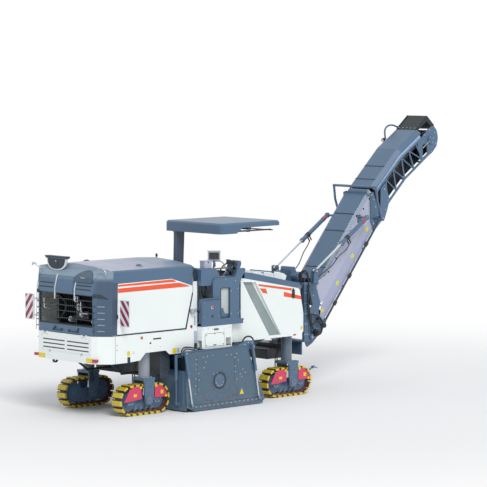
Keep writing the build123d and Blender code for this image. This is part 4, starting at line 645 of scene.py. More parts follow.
# cooler with its header tanks, fins in shallow rows, and the hoses and castings seen through the grille
slab(bm, (-0.86, -0.69, 1.73), (-0.802, 0.69, 1.80), 0)
slab(bm, (-0.86, -0.69, 2.46), (-0.802, 0.69, 2.55), 0)
for n in range(23):
    y = -0.66 + 0.06 * n
    slab(bm, (-0.845, y - 0.004, 1.80), (-0.802, y + 0.004, 2.46), 2)
for y, z, r in ((-0.10, 2.16, 0.085), (-0.20, 2.02, 0.07), (0.14, 1.90, 0.075), (-0.56, 1.90, 0.07),
                (-0.62, 2.20, 0.05)):
    rod(bm, (-0.86, y, z), (-0.98, y, z), r, 24, end_r=r * 0.82, material=1)
    rod(bm, (-0.98, y, z), (-1.01, y, z), r * 0.55, 18, end_r=r * 0.5, material=1)
    for across, height in circle(y, z, r * 0.66, 6):
        bolt(bm, (-0.978, across, height), (-1, 0, 0), 0.007, material=1)
slab(bm, (-0.93, -0.35, 1.93), (-0.86, 0.02, 2.08), 0)
slab(bm, (-0.92, -0.72, 1.80), (-0.86, -0.46, 1.86), 0)
slab(bm, (-0.92, -0.02, 2.24), (-0.86, 0.10, 2.36), 1)
piece("cooler_tanks_and_castings", bm, "machine", engine_grey, zinc_bolt, black_plastic, edge=0.006,
      slot="engine_grey")
tube("cooler_hose", [(-0.98, 0.55, 2.40), (-1.02, 0.40, 2.36), (-1.00, 0.20, 2.20), (-1.02, 0.30, 1.98),
                     (-0.95, 0.55, 1.86)], 0.024, "machine", rubber, 4)


def corner(side, t, z):
    """A point on the hood's rear corner face, t running from its rear edge forward."""
    return Vector((-1.18 + 0.21 * t, side * (0.90 + 0.21 * t), z))


bm = bmesh.new()
# lower edge of the hood with its two pull bars, and the louvre ribs on both rear corners
for y0, y1, z in ((0.077, 0.360, 1.708), (-0.409, -0.115, 1.705)):
    slab(bm, (-1.262, y0, z - 0.007), (-1.248, y1, z + 0.007), 1)
    for y in (y0 + 0.02, y1 - 0.02):
        slab(bm, (-1.262, y - 0.010, z - 0.014), (-1.232, y + 0.010, z + 0.030), 1)
slab(bm, (-1.262, 0.29, 1.735), (-1.242, 0.31, 1.775), 1)
slab(bm, (-1.262, -0.42, 1.745), (-1.242, -0.40, 1.780), 1)
for side in (-1, 1):
    out = Vector((-0.7071, side * 0.7071, 0))
    for z in (1.752, 1.873, 1.990, 2.112, 2.235):
        a, b, up = corner(side, 0.04, z), corner(side, 0.52, z - 0.004), Vector((0, 0, 0.007))
        ring = [a - up, b - up, b + up, a + up]
        prism(bm, [v + out * (0.008 if n > 1 else 0.0024) for n, v in enumerate(ring)],
              [v - out * 0.0048 for v in ring], 2)
        slab(bm, (rear_x(z) - 0.004, side * 0.862 - 0.022, z - 0.010),
             (rear_x(z) + 0.006, side * 0.862 + 0.022, z + 0.010), 1)
    # scoop over the corner
    ring = [corner(side, t, z) for t, z in ((0.0, 2.398), (0.82, 2.372), (0.55, 2.425), (0.25, 2.474), (0.0, 2.478))]
    prism(bm, [v + out * 0.004 for v in ring], [v - out * 0.006 for v in ring], 1)
    slab(bm, (-1.224, side * 0.82, 2.405), (-1.212, side * 0.90, 2.476), 1)
piece("hood_corner_ribs_and_pulls", bm, "hood", moulding, seam_black, pale_blue, edge=0.001)
bm = bmesh.new()
# a board on the left of the slope: a dark shield in a bright rim, whose use is a guess
rim = [(0.759, 3.100), (0.755, 3.02), (0.72, 2.95), (0.64, 2.89), (0.54, 2.866), (0.41, 2.864), (0.29, 2.888),
       (0.20, 2.945), (0.155, 3.02), (0.146, 3.100)]
middle = (0.452, 3.03)
for scale, x0, x1, material in ((1.0, -1.075, -1.035, 0), (0.84, -1.088, -1.070, 1)):
    ring = [(middle[0] + (y - middle[0]) * scale, middle[1] + (z - middle[1]) * (scale if z < middle[1] else 1.0))
            for y, z in rim]
    prism(bm, [(x0, y, z) for y, z in ring], [(x1, y, z) for y, z in ring], material)
slab(bm, (-1.10, 0.135, 3.100), (-1.00, 0.770, 3.125), 2)
slab(bm, (-1.11, 0.125, 3.125), (-0.99, 0.780, 3.150), 1)
rod(bm, (-1.095, 0.45, 3.01), (-1.088, 0.45, 3.01), 0.05, 20, material=1)
rod(bm, (-1.100, 0.45, 3.05), (-1.090, 0.45, 3.05), 0.018, 16, material=3)
slab(bm, (-1.04, 0.30, 2.87), (-0.95, 0.60, 2.98), 1)
piece("rear_shield_board", bm, "hood", bright_trim, seam_black, shaded_slate, zinc_bolt, edge=0.004)
tube("grab_hoop_left", [(-1.15, 1.115, 2.93), (-1.15, 1.125, 2.975), (-1.15, 1.06, 2.985), (-1.13, 0.99, 2.935),
                        (-1.07, 0.94, 2.875)], 0.016, "hood", zinc_bolt)
tube("grab_hoop_right", [(-1.10, -0.875, 2.93), (-1.10, -0.875, 2.985), (-1.10, -0.955, 2.995), (-1.10, -1.08, 2.930),
                         (-1.08, -1.065, 2.86)], 0.016, "hood", zinc_bolt)


# Lower rear: white sheet with a screwed louvre plate, blank yellow stickers beside the red lamps,
# and small plugs. Sides: latch, marker lamp, slot, plugs, stickers, switch and a pale strip.
bm = bmesh.new()
slab(bm, (-1.2475, -0.778, 1.280), (-1.2405, 0.737, 1.585), 0)
for z in (1.342, 1.420, 1.500):
    for y0, y1 in ((0.005, 0.677), (-0.727, -0.068)):
        slab(bm, (-1.2485, y0, z - 0.014), (-1.2465, y1, z + 0.014), 1)
        slab(bm, (-1.2505, y0, z + 0.010), (-1.2465, y1, z + 0.016), 0)
for y in (-0.74, -0.02, 0.70):
    for z in (1.30, 1.56):
        bolt(bm, (-1.2470, y, z), (-1, 0, 0), 0.006, material=2)
for y in (0.468, -0.508):
    rod(bm, (-1.2410, y, 1.270), (-1.256, y, 1.270), 0.022, 18, material=2)
rod(bm, (-1.2405, 0.84, 1.52), (-1.246, 0.84, 1.52), 0.010, 12, material=1)
piece("rear_louvre_plate", bm, "machine", white_paint, seam_black, zinc_bolt, edge=0.0008)
bm = bmesh.new()
slab(bm, (-1.2415, 0.620, 1.114), (-1.2398, 0.830, 1.202), 0)
slab(bm, (-1.2415, -0.833, 1.122), (-1.2398, -0.640, 1.210), 0)
slab(bm, (-0.583, -1.1112, 1.236), (-0.503, -1.1098, 1.328), 0)
slab(bm, (0.618, -1.1112, 1.190), (0.728, -1.1098, 1.296), 0)
slab(bm, (0.618, 1.1098, 1.190), (0.728, 1.1112, 1.296), 0)
slab(bm, (-0.583, 1.1098, 1.236), (-0.503, 1.1112, 1.328), 0)
slab(bm, (0.742, -1.1112, 1.200), (0.806, -1.1098, 1.290), 1)
piece("blank_stickers", bm, "machine", sticker, lavender)
for side, tag in SIDES:
    bm = bmesh.new()

    def skin(x0, x1, z0, z1, out, material, back=0.001):
        """A small flat part on the body's side."""
        a, b = side * (1.110 - back), side * (1.110 + out)
        slab(bm, (x0, a, z0), (x1, b, z1), material)

    skin(-0.575, -0.498, 1.101, 1.212, 0.0010, 1)
    skin(0.105, 0.316, 1.506, 1.538, 0.0015, 1)
    skin(0.100, 0.321, 1.536, 1.541, 0.0040, 0)
    skin(-0.890, -0.884, 1.101, 1.640, 0.0012, 1)
    for z in (1.373, 1.467):
        skin(-0.856, -0.834, z - 0.012, z + 0.012, 0.006, 2)
    for x, z, r, material in ((0.031, 1.444, 0.021, 1), (0.026, 1.355, 0.008, 2), (0.298, 1.353, 0.008, 2),
                              (-0.415, 1.286, 0.026, 2), (1.131, 1.693, 0.032, 1)):
        rod(bm, (x, side * 1.109, z), (x, side * 1.113, z), r, 20, material=material)
    rod(bm, (-0.415, side * 1.112, 1.286), (-0.415, side * 1.1145, 1.286), 0.018, 20)
    rod(bm, (-0.198, side * 1.109, 1.567), (-0.198, side * 1.122, 1.567), 0.026, 20, material=1)
    rod(bm, (-0.198, side * 1.122, 1.567), (-0.198, side * 1.140, 1.567), 0.020, 20, end_r=0.010, material=3)
    rod(bm, (1.131, side * 1.113, 1.693), (1.131, side * 1.130, 1.693), 0.022, 20, end_r=0.018, material=4)
    # a pale strip with a dark patch at its foot
    skin(1.200, 1.285, 1.225, 1.600, 0.002, 5)
    skin(1.205, 1.280, 1.240, 1.350, 0.004, 1)
    for x in (-0.70, -0.30, 0.62, 0.95):
        rod(bm, (x, side * 1.109, 1.625), (x, side * 1.113, 1.625), 0.007, 10, material=2)
    cut_plate(bm, [(-0.560, 1.1002), (-0.240, 1.120), (-0.092, 1.262), (-0.107, 1.262), (-0.30, 1.190)],
              side * 1.1052, side * 1.1098, 0)
    piece("body_side_fittings_" + tag, bm, "machine", white_paint, seam_black, zinc_bolt, amber_lens, red_button,
          lavender, edge=0.001)


# Hood sides: white doors with the orange stripes as film, the slate upper edge, the rear corner skin in slate drawn
# darker as painted shade, the dark rubber seam, the latch, and striped warning plates in crimson on pale grey.
for side, tag in SIDES:
    bm = bmesh.new()
    cut_plate(bm, [(-0.962, 1.660), (-0.840, 1.660), (-0.812, 2.700), (-0.962, 2.700)], side * 1.1095, side * 1.1115,
              1)
    cut_plate(bm, [(-0.812, 2.674), (0.604, 2.690), (1.160, 2.518), (1.168, 2.700), (-0.812, 2.700)], side * 1.1095,
              side * 1.1112, 0)
    cut_plate(bm, [(-0.808, 2.617), (0.724, 2.622), (0.655, 2.668), (0.604, 2.676), (-0.808, 2.655)], side * 1.1095,
              side * 1.1110, 2)
    cut_plate(bm, [(-0.810, 2.495), (1.107, 2.508), (1.000, 2.545), (0.861, 2.586), (0.783, 2.601), (-0.810, 2.582)],
              side * 1.1095, side * 1.1110, 2)
    cut_plate(bm, [(-0.842, 1.656), (0.970, 1.656), (0.955, 1.676), (-0.842, 1.674)], side * 1.1090, side * 1.1125, 3)
    cut_plate(bm, [(0.960, 1.656), (0.978, 1.656), (1.169, 2.350), (1.169, 2.392), (1.150, 2.370)], side * 1.1090,
              side * 1.1125, 3)
    slab(bm, (-0.858, side * 1.111, 1.985), (-0.822, side * 1.126, 2.070), 4)
    slab(bm, (-0.846, side * 1.126, 2.00), (-0.834, side * 1.134, 2.055), 4)
    piece("hood_side_films_" + tag, bm, "hood", moulding, shaded_slate, orange_film, seam_black, black_plastic,
          slot="white_paint")


def chevrons(tree, place, colour):
    """Slanting crimson bands, 115 mm high at every 220 mm, mirrored from side to side, inside a pale border."""
    parts = add(tree, "SeparateXYZ", {0: place}).outputs
    side = add(tree, "Math", {0: parts["Y"]}, operation="ABSOLUTE").outputs[0]
    rise = add(tree, "Math", {0: side, 1: 1.25, 2: parts["Z"]}, operation="MULTIPLY_ADD").outputs[0]
    turn = add(tree, "Math", {0: rise, 1: 0.22}, operation="FLOORED_MODULO").outputs[0]
    band = lit(tree, turn, 0.0, 0.115)
    z = lit(tree, parts["Z"], 1.848, 2.342)
    inside = add(tree, "Math", {0: lit(tree, side, 1.122, 1.380), 1: z}, operation="MULTIPLY").outputs[0]
    both = add(tree, "Math", {0: band, 1: inside}, operation="MULTIPLY").outputs[0]
    return add(tree, "Mix", {"Factor": both, "A": colour, "B": linear("#8a1f4a")}, data_type="RGBA").outputs["Result"]


dress(finish("striped_warning_sheet", "#dfe1e4", roughness=0.4, dust=0.15, edge=0.1, marks=chevrons),
      "warning_plates")


# Hood top: a closing gable of the moulded lid over the rear skin, two screwed filler caps and the lid's
# cross seams. Its paint is paler than the skin's, because the photo's light makes the lid look so.
bm = bmesh.new()
gable = [(-1.066, 2.912), (-0.56, 2.993), (0.0, 3.023), (0.56, 2.993), (1.066, 2.912), (1.05, 2.90), (-1.05, 2.90)]
prism(bm, [(-0.972, y, z) for y, z in gable], [(-0.958, y, z) for y, z in gable])
for side in (-1, 1):
    rod(bm, (0.0, side * 0.80, 2.955), (0.0, side * 0.80, 2.972), 0.085, 28)
    rod(bm, (0.0, side * 0.80, 2.970), (0.0, side * 0.80, 2.985), 0.060, 28, end_r=0.052, material=1)
    slab(bm, (-0.035, side * 0.80 - 0.010, 2.983), (0.035, side * 0.80 + 0.010, 2.994), 1)
for x in (-0.20, 0.55):
    for side in (-1, 1):
        cross = [bm.verts.new(p) for p in ((x, 0, 3.0265), (x + 0.008, 0, 3.0265), (x + 0.008, side * 0.56, 2.9965),
                                           (x, side * 0.56, 2.9965))]
        bm.faces.new(cross).material_index = 1
piece("hood_gable_and_caps", bm, "hood", pale_lid, seam_black, edge=0.003)


# Operator station: on the CAD's sheet steel sides, a monitor in a grey bezel on a stalk, a pale map box in
# painted sheet, a lined window, bolts, small switches and lamp brackets, and a rubber seal behind.
bm = bmesh.new()
turn = Matrix.Translation((1.762, -1.105, 3.085)) @ Matrix.Rotation(math.radians(45), 4, "Z")
for lo, hi, material in (((-0.026, -0.128, -0.096), (-0.019, 0.128, 0.096), 0),
                         ((-0.029, -0.100, -0.066), (-0.025, 0.100, 0.070), 1),
                         ((-0.0305, -0.045, -0.040), (-0.0285, 0.040, 0.030), 2),
                         ((-0.030, -0.09, -0.088), (-0.026, 0.09, -0.076), 2),
                         ((-0.018, -0.135, 0.092), (0.030, 0.135, 0.104), 0)):
    bmesh.ops.transform(bm, matrix=turn, verts=slab(bm, lo, hi, material))
rod(bm, (1.762, -1.105, 2.995), (1.790, -1.085, 2.93), 0.020, 16, material=3)
rod(bm, (1.790, -1.085, 2.93), (1.800, -1.070, 2.86), 0.026, 16, material=3)
piece("operator_monitor", bm, "machine", grey_bezel, screen_glass, seam_black, black_plastic, edge=0.003,
      slot="grille_black")
bm = bmesh.new()
slab(bm, (1.440, -1.170, 2.852), (1.640, -1.030, 2.985), 0)
slab(bm, (1.432, -1.178, 2.985), (1.648, -1.022, 3.002), 0)
slab(bm, (1.530, -1.174, 2.955), (1.560, -1.168, 2.985), 1)
for z in (2.89, 2.93):
    slab(bm, (1.46, -1.1715, z), (1.62, -1.1695, z + 0.003), 1)
piece("white_map_box", bm, "machine", lavender, seam_black, edge=0.008)
for side, tag in SIDES:
    bm = bmesh.new()
    # lower panel of the side wall with its flanges, latch, switch and the hinged tray hook
    for x0, x1, z0, z1 in ((1.340, 1.770, 1.84, 2.20), (1.340, 1.770, 2.225, 2.236)):
        a, b = side * 1.2485, side * 1.254
        slab(bm, (x0, a, z0), (x1, b, z1), 0)
    a, b = side * 1.250, side * 1.285
    slab(bm, (1.300, a, 2.236), (1.780, b, 2.252), 0)
    rod(bm, (1.578, side * 1.250, 2.056), (1.578, side * 1.258, 2.056), 0.034, 24, material=1)
    rod(bm, (1.578, side * 1.258, 2.062), (1.578, side * 1.278, 2.062), 0.024, 20, end_r=0.018, material=2)
    rod(bm, (1.578, side * 1.258, 2.030), (1.578, side * 1.266, 2.030), 0.012, 16, material=4)
    slab(bm, (1.555, side * 1.256 - 0.006, 1.86), (1.600, side * 1.256 + 0.006, 1.90), 3)
    bolts(bm, ((1.36, 1.87), (1.75, 1.87), (1.36, 2.17), (1.75, 2.17), (2.10, 1.90), (2.10, 2.36), (2.29, 1.90),
               (2.29, 2.40), (2.22, 2.56), (1.95, 2.60)), side * 1.2495, side, 0.009, 4)
    a, b = side * 1.215, side * 1.255
    slab(bm, (2.285, a, 1.775), (2.300, b, 1.940), 0)
    slab(bm, (2.240, a, 1.925), (2.300, b, 1.940), 0)
    # lamp bracket and black knob at the rear post, beside the hood
    rod(bm, (1.130, side * 1.150, 2.020), (1.130, side * 1.150, 1.950), 0.052, 24, end_r=0.038, material=4)
    rod(bm, (1.130, side * 1.150, 2.035), (1.130, side * 1.150, 2.018), 0.044, 24, material=5)
    slab(bm, (1.110, side * 1.109, 2.028), (1.300, side * 1.165, 2.046), 4)
    rod(bm, (1.300, side * 1.140, 1.975), (1.385, side * 1.140, 1.975), 0.020, 16, material=3)
    rod(bm, (1.215, side * 1.118, 1.910), (1.215, side * 1.118, 1.720), 0.012, 12, material=4)
    # an opaque pale sheet in the window for what the photo shows through it, and a slate corner in front
    cut_plate(bm, [(1.812, 1.832), (2.058, 1.832), (2.058, 2.428), (1.812, 2.428)], side * 1.2115, side * 1.2135, 6)
    cut_plate(bm, [(1.812, 1.832), (2.058, 1.832), (2.058, 1.90), (1.96, 1.91), (1.90, 2.03), (1.812, 2.00)],
              side * 1.2135, side * 1.2155, 0)
    # window pane edge trim
    for x0, x1, z0, z1 in ((1.806, 1.818, 1.83, 2.43), (2.052, 2.064, 1.83, 2.43), (1.806, 2.064, 1.822, 1.834),
                           (1.806, 2.064, 2.426, 2.438)):
        a, b = side * 1.2485, side * 1.2555
        slab(bm, (x0, a, z0), (x1, b, z1), 3)
    piece("side_wall_fittings_" + tag, bm, "machine", slate_paint, white_paint, red_button, seam_black, zinc_bolt,
          lavender, window_lining, edge=0.002)
bm = bmesh.new()
# black rubber edge between hood and platform
for side in (-1, 1):
    a, b = side * 1.085, side * 1.108
    cut_plate(bm, [(1.192, 2.80), (1.300, 2.80), (1.330, 1.70), (1.295, 1.66), (1.292, 2.30)], a, b, 0)
piece("platform_rear_seal", bm, "machine", seam_black, edge=0.003)


# Controls on both consoles: black key panels with round plated keys, black joysticks, and two knobs with
# plated caps, all moulded plastic. Three small lamps, two rubber hoses and a bent grab rail stand beside them.
bm = bmesh.new()
for side in (-1, 1):
    slab(bm, (1.66, side * 1.105 - 0.085, 2.815), (2.20, side * 1.105 + 0.085, 2.826), 1)
    for k in range(8):
        for m in range(2):
            x, y = 1.72 + 0.055 * k, side * 1.105 - 0.035 + 0.07 * m
            rod(bm, (x, y, 2.825), (x, y, 2.834), 0.014, 14, material=2 if (k + m) % 5 else 3)
    rod(bm, (2.16, side * 1.105, 2.82), (2.17, side * 1.105, 2.93), 0.012, 12, material=1)
    rod(bm, (2.17, side * 1.105, 2.92), (2.172, side * 1.105, 2.985), 0.026, 18, end_r=0.020, material=1)
for y, x in ((-0.90, 2.52), (-0.66, 2.56)):
    rod(bm, (x, y, 2.86), (x, y, 2.93), 0.034, 20, end_r=0.030, material=1)
    rod(bm, (x, y, 2.93), (x, y, 2.945), 0.040, 20, material=2)
piece("console_keys_and_levers", bm, "machine", slate_paint, black_plastic, zinc_bolt, red_button, edge=0.002)
for n, (x, y, z, r) in enumerate(((2.30, -1.02, 2.70, 0.045), (2.36, -1.06, 2.80, 0.040),
                                  (2.26, -1.10, 2.62, 0.036))):
    bm = bmesh.new()
    rod(bm, (x, y, z), (x + 0.05, y - 0.01, z), r, 24, end_r=r * 0.8)
    rod(bm, (x - 0.006, y, z), (x + 0.002, y, z), r * 0.92, 24, material=1)
    rod(bm, (x + 0.03, y, z), (x + 0.06, y + 0.08, z - 0.05), 0.010, 10)
    piece("station_lamp_%d" % n, bm, "machine", black_plastic, screen_glass, edge=0.002)
hoses("machine", (
    ("station_hose_a", 0.022, [(1.36, -1.02, 2.62), (1.44, -1.13, 2.50), (1.40, -1.12, 2.34), (1.52, -1.06, 2.26)]),
    ("station_hose_b", 0.018, [(1.48, -1.00, 2.58), (1.56, -1.12, 2.46), (1.50, -1.10, 2.30), (1.62, -1.05, 2.20)]),
))
tube("station_rail", [(1.66, -1.00, 2.87), (1.68, -0.98, 2.95), (1.90, -0.96, 2.96), (2.12, -0.98, 2.95),
                      (2.14, -1.00, 2.87)], 0.011, "machine", zinc_bolt)


# Steering wheel: a rim moulded in black rubber with finger ridges, on three flat plated spokes that meet
# at a capped hub.
bm = bmesh.new()
hub, lean = Vector((2.431, -0.770, 2.756)), Vector((-0.766, 0.0, 0.643)).normalized()
across, up = Vector((0, 1, 0)), lean.cross(Vector((0, 1, 0)))
rings = []
for n in range(48):
    a = 2 * math.pi * n / 48
    out = across * math.cos(a) + up * math.sin(a)
    grip = 0.0155 + 0.0012 * (n % 4 == 0)
    rings.append([bm.verts.new(hub + out * (0.170 + grip * math.cos(b)) + lean * grip * math.sin(b))
                  for b in [k * math.pi / 5 for k in range(10)]])
for n in range(48):
    for k in range(10):
        bm.faces.new((rings[n][k], rings[n][(k + 1) % 10], rings[(n + 1) % 48][(k + 1) % 10], rings[(n + 1) % 48][k]))
for a in (math.pi / 2, math.pi * 7 / 6, math.pi * 11 / 6):
    out = across * math.cos(a) + up * math.sin(a)
    wide = lean.cross(out) * 0.014
    ends = [hub + out * 0.03 - lean * 0.012, hub + out * 0.168]
    box = [bm.verts.new(p + wide * s + lean * t) for p in ends for s in (-1, 1) for t in (-0.004, 0.004)]
    for f in ((0, 1, 3, 2), (4, 6, 7, 5), (0, 4, 5, 1), (2, 3, 7, 6), (0, 2, 6, 4), (1, 5, 7, 3)):
        bm.faces.new([box[k] for k in f]).material_index = 1
rod(bm, hub - lean * 0.02, hub + lean * 0.012, 0.042, 24, end_r=0.030)
rod(bm, hub + lean * 0.012, hub + lean * 0.016, 0.024, 20, material=1)
wheel = piece("steering_wheel_rim", bm, "steering", rubber, zinc_bolt, slot="black_rubber")
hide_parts("steering_wheel")


# Operator seat: a black base with a rubber bellows, and two foam cushions in black leather cloth with piping and
# sewn channels. The cushions are shaped in code: crowned faces and sides drawn in between the corners.
def cushion(name, centre, along, across, thick, channels, material):
    """A padded block. centre is its middle, the three vectors are its half sizes."""
    centre, along, across, thick = [Vector(v) for v in (centre, along, across, thick)]
    n = 28
    bm = bmesh.new()

    def place(u, v, s):
        pull_u, pull_v = 1 - 0.045 * (1 - v * v), 1 - 0.045 * (1 - u * u)
        round_off = max(0.0, 1 - abs(u) ** 7) ** 0.5 * max(0.0, 1 - abs(v) ** 7) ** 0.5
        crown = 0.58 + 0.42 * (1 - u * u) * (1 - v * v)
        groove = sum(0.16 * math.exp(-((v - c) / 0.045) ** 2) for c in channels) * (1 - u ** 6) if s > 0 else 0.0
        swell = 0.10 + 0.90 * round_off * (crown - groove)
        return centre + along * u * pull_u + across * v * pull_v + thick * s * swell

    sheets = []
    for s in (1, -1):
        sheets.append([[bm.verts.new(place(-1 + 2 * i / n, -1 + 2 * j / n, s)) for j in range(n + 1)]
                       for i in range(n + 1)])
    for grid in sheets:
        for i in range(n):
            for j in range(n):
                bm.faces.new((grid[i][j], grid[i + 1][j], grid[i + 1][j + 1], grid[i][j + 1]))
    rim = [(i, 0) for i in range(n)] + [(n, j) for j in range(n)]
    rim += [(n - i, n) for i in range(n)] + [(0, n - j) for j in range(n)]
    for (i, j), (k, m) in zip(rim, rim[1:] + rim[:1]):
        bm.faces.new((sheets[0][i][j], sheets[1][i][j], sheets[1][k][m], sheets[0][k][m]))
    # piping along the seam round the edge
    loop = [(sheets[0][i][j].co + sheets[1][i][j].co) / 2 for i, j in rim]
    rings = []
    for a, b, c in zip(loop[-1:] + loop[:-1], loop, loop[1:] + loop[:1]):
        run = (c - a).normalized()
        side, up = run.cross(thick).normalized(), thick.normalized()
        rings.append([bm.verts.new(b + side * 0.006 * math.cos(t) + up * 0.006 * math.sin(t))
                      for t in [k * math.pi / 3 for k in range(6)]])
    for p, q in zip(rings, rings[1:] + rings[:1]):
        for k in range(6):
            bm.faces.new((p[k], p[(k + 1) % 6], q[(k + 1) % 6], q[k])).material_index = 1
    made = piece(name, bm, "machine", material, seam_black, round_over=60, slot="seat_black")
    return made


cushion("seat_pan_cushion", (1.665, 0.0, 2.262), (0.245, 0, 0.0), (0, 0.222, 0), (0, 0, 0.058), (-0.42, 0.42),
        seat_leather)
cushion("seat_back_cushion", (1.485, 0.0, 2.560), (-0.035, 0, 0.255), (0, 0.215, 0), (0.055, 0, 0.0075),
        (-0.42, 0.42), seat_leather)
bm = bmesh.new()
slab(bm, (1.46, -0.19, 1.771), (1.86, 0.19, 1.80), 1)
for n in range(8):
    z = 1.80 + 0.047 * n
    rod(bm, (1.66, 0, z), (1.66, 0, z + 0.024), 0.150, 28, end_r=0.172)
    rod(bm, (1.66, 0, z + 0.023), (1.66, 0, z + 0.047), 0.172, 28, end_r=0.150)
slab(bm, (1.44, -0.20, 2.175), (1.90, 0.20, 2.206), 1)
cut_plate(bm, [(1.41, 2.20), (1.44, 2.20), (1.46, 2.30), (1.435, 2.82), (1.415, 2.82), (1.425, 2.35)], -0.205, 0.205,
          1)
seat_base = piece("seat_base_and_bellows", bm, "machine", rubber, black_plastic, edge=0.004, slot="seat_black")
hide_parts("operator_seat")


# Canopy: a moulded roof in glass-reinforced plastic on a steel post, with pressed ribs below it and four bolts on
# top.
# Post and ribs take the darker slate that is painted shade.
bm = bmesh.new()
for y in (-0.62, 0.62):
    slab(bm, (2.26, y - 0.03, 3.488), (3.82, y + 0.03, 3.515), 0)
for x in (2.36, 3.04, 3.70):
    slab(bm, (x - 0.025, -0.80, 3.492), (x + 0.025, 0.80, 3.512), 0)
for side in (-1, 1):
    for x in (2.30, 3.78):
        bolt(bm, (x, side * 0.74, 3.655), (0, side * 0.5, 0.85), 0.012, material=1)
piece("canopy_ribs_and_bolts", bm, "machine", shaded_slate, zinc_bolt, edge=0.003)


# Side cabinets: folded white sheet with a cover on black studs, a drip edge along the top, plated screws,
# and dark step treads below.
for side, tag in SIDES:
    bm = bmesh.new()
    a, b = side * 1.2495, side * 1.254
    slab(bm, (1.380, a, 1.270), (1.905, b, 1.530), 0)
    slab(bm, (1.372, side * 1.2492, 1.262), (1.913, side * 1.2508, 1.538), 1)
    slab(bm, (1.60, side * 1.253, 1.288), (1.68, side * 1.262, 1.304), 2)
    slab(bm, (1.620, side * 1.250, 1.600), (1.740, side * 1.268, 1.624), 2)
    studs(bm, ((1.41, 1.30), (1.875, 1.30), (1.41, 1.50), (1.875, 1.50), (1.642, 1.522)), side * 1.253, side * 1.257,
          0.012, 16, 2)
    studs(bm, ((1.32, 1.62), (1.46, 1.64), (1.58, 1.62), (1.90, 1.60), (1.98, 1.61), (2.06, 1.62)), side * 1.2495,
          side * 1.2545, 0.009, 12, 3)
    slab(bm, (1.945, side * 1.2495, 1.262), (2.102, side * 1.256, 1.270), 3)
    slab(bm, (1.962, side * 1.16, 1.272), (2.086, side * 1.2495, 1.278), 1)
    slab(bm, (1.298, side * 1.125, 1.252), (1.39, side * 1.232, 1.258), 1)
    slab(bm, (1.300, side * 1.249, 1.655), (2.118, side * 1.253, 1.678), 0)
    piece("cabinet_cover_and_locks_" + tag, bm, "machine", white_paint, seam_black, black_plastic, zinc_bolt,
          edge=0.0015)


# Front side panels: folded white sheet, screwed on, with a slanted recess whose grey back sheet is painted shade,
# orange stripes cut from film, a black clip and two small blank marks.
for side, tag in SIDES:
    bm = bmesh.new()
    cut_plate(bm, [(2.994, 2.436), (3.012, 2.393), (3.962, 2.237), (3.962, 2.288)], side * 1.1095, side * 1.1112, 0)
    cut_plate(bm, [(3.032, 2.350), (3.122, 2.246), (3.262, 2.219), (3.222, 2.318)], side * 1.1095, side * 1.1112, 0)
    cut_plate(bm, [(3.735, 2.228), (3.735, 2.130), (4.251, 2.033), (4.241, 2.107)], side * 1.1095, side * 1.1112, 0)
    # the grey sheet at the back of the recess is painted shade in the white panel
    cut_plate(bm, [(2.556, 2.569), (2.832, 2.529), (3.683, 1.297), (3.385, 1.322)], side * 1.0495, side * 1.0515, 6)
    slab(bm, (3.975, side * 1.110, 2.085), (4.035, side * 1.135, 2.255), 1)
    rod(bm, (4.005, side * 1.118, 2.255), (4.005, side * 1.118, 2.285), 0.014, 14, material=1)
    slab(bm, (4.010, side * 1.110, 1.292), (4.095, side * 1.113, 1.320), 2)
    slab(bm, (4.225, side * 1.110, 1.400), (4.285, side * 1.112, 1.470), 3)
    slab(bm, (2.150, side * 1.110, 1.292), (2.154, side * 1.1115, 1.66), 4)
    studs(bm, ((2.20, 1.62), (2.22, 1.66), (2.30, 1.31), (2.60, 1.31), (2.95, 1.31), (4.25, 1.75), (4.23, 2.00)),
          side * 1.1095, side * 1.1135, 0.008, 12, 5)
    piece("front_panel_films_" + tag, bm, "machine", orange_film, black_plastic, red_button, sticker, seam_black,
          zinc_bolt, recess_shade_grey)


# Front deck: pale pressed covers over the loading belt's mouth, with two slate straps across them and a
# slate sill in front of the stand.
bm = bmesh.new()
cut_plate(bm, [(3.30, 2.520), (3.38, 2.600), (4.20, 2.560), (4.30, 2.50), (4.26, 2.40), (3.36, 2.50)], -0.62, 0.10, 0)
cut_plate(bm, [(3.34, 2.600), (3.40, 2.622), (4.16, 2.580), (4.20, 2.560)], -0.56, 0.04, 0)
for x in (3.62, 3.92):
    slab(bm, (x, -0.622, 2.42), (x + 0.010, 0.102, 2.612), 1)
slab(bm, (2.75, -0.95, 2.50), (3.20, 0.95, 2.55), 1)
piece("front_deck_covers", bm, "machine", white_paint, slate_paint, edge=0.008)


# Right side plate: thick steel wear plate in slate paint, with bolt rows, plugs, a ring over the drum's drive, a
# bolted skid along the bottom, red depth marks and a blank triangle. Two slim cylinders with foot pins lift it.
bm = bmesh.new()
FACE = -1.346                                    # the plate's outer face
DRIVE_X, DRIVE_Z, DRIVE_R = 1.685, 0.575, 0.188  # the ring over the drum's drive
bolts(bm, ((1.888, 1.076), (2.003, 1.078), (1.111, 0.767), (1.616, 0.735), (1.523, 0.720), (1.110, 0.452),
           (1.126, 0.631), (2.16, 1.09), (2.112, 1.012), (2.206, 0.947), (2.159, 0.563), (1.05, 1.05), (1.05, 0.95),
           (1.045, 0.85), (1.04, 0.66), (1.03, 0.52), (1.02, 0.36), (2.34, 0.75), (2.40, 0.68), (2.26, 0.66),
           (2.30, 0.60), (1.23, 1.08), (1.35, 1.09), (1.50, 1.10), (1.30, 0.98), (1.26, 0.87), (2.12, 0.83),
           (2.12, 0.72)), FACE, -1, 0.011, 1)
for x, z, r in ((1.160, 0.640, 0.038), (1.110, 0.470, 0.030), (2.02, 1.03, 0.022), (1.24, 0.98, 0.020)):
    rod(bm, (x, FACE, z), (x, FACE - 0.002, z), r, 24, material=2)
    rod(bm, (x, FACE - 0.002, z), (x, FACE - 0.005, z), r * 0.6, 20)
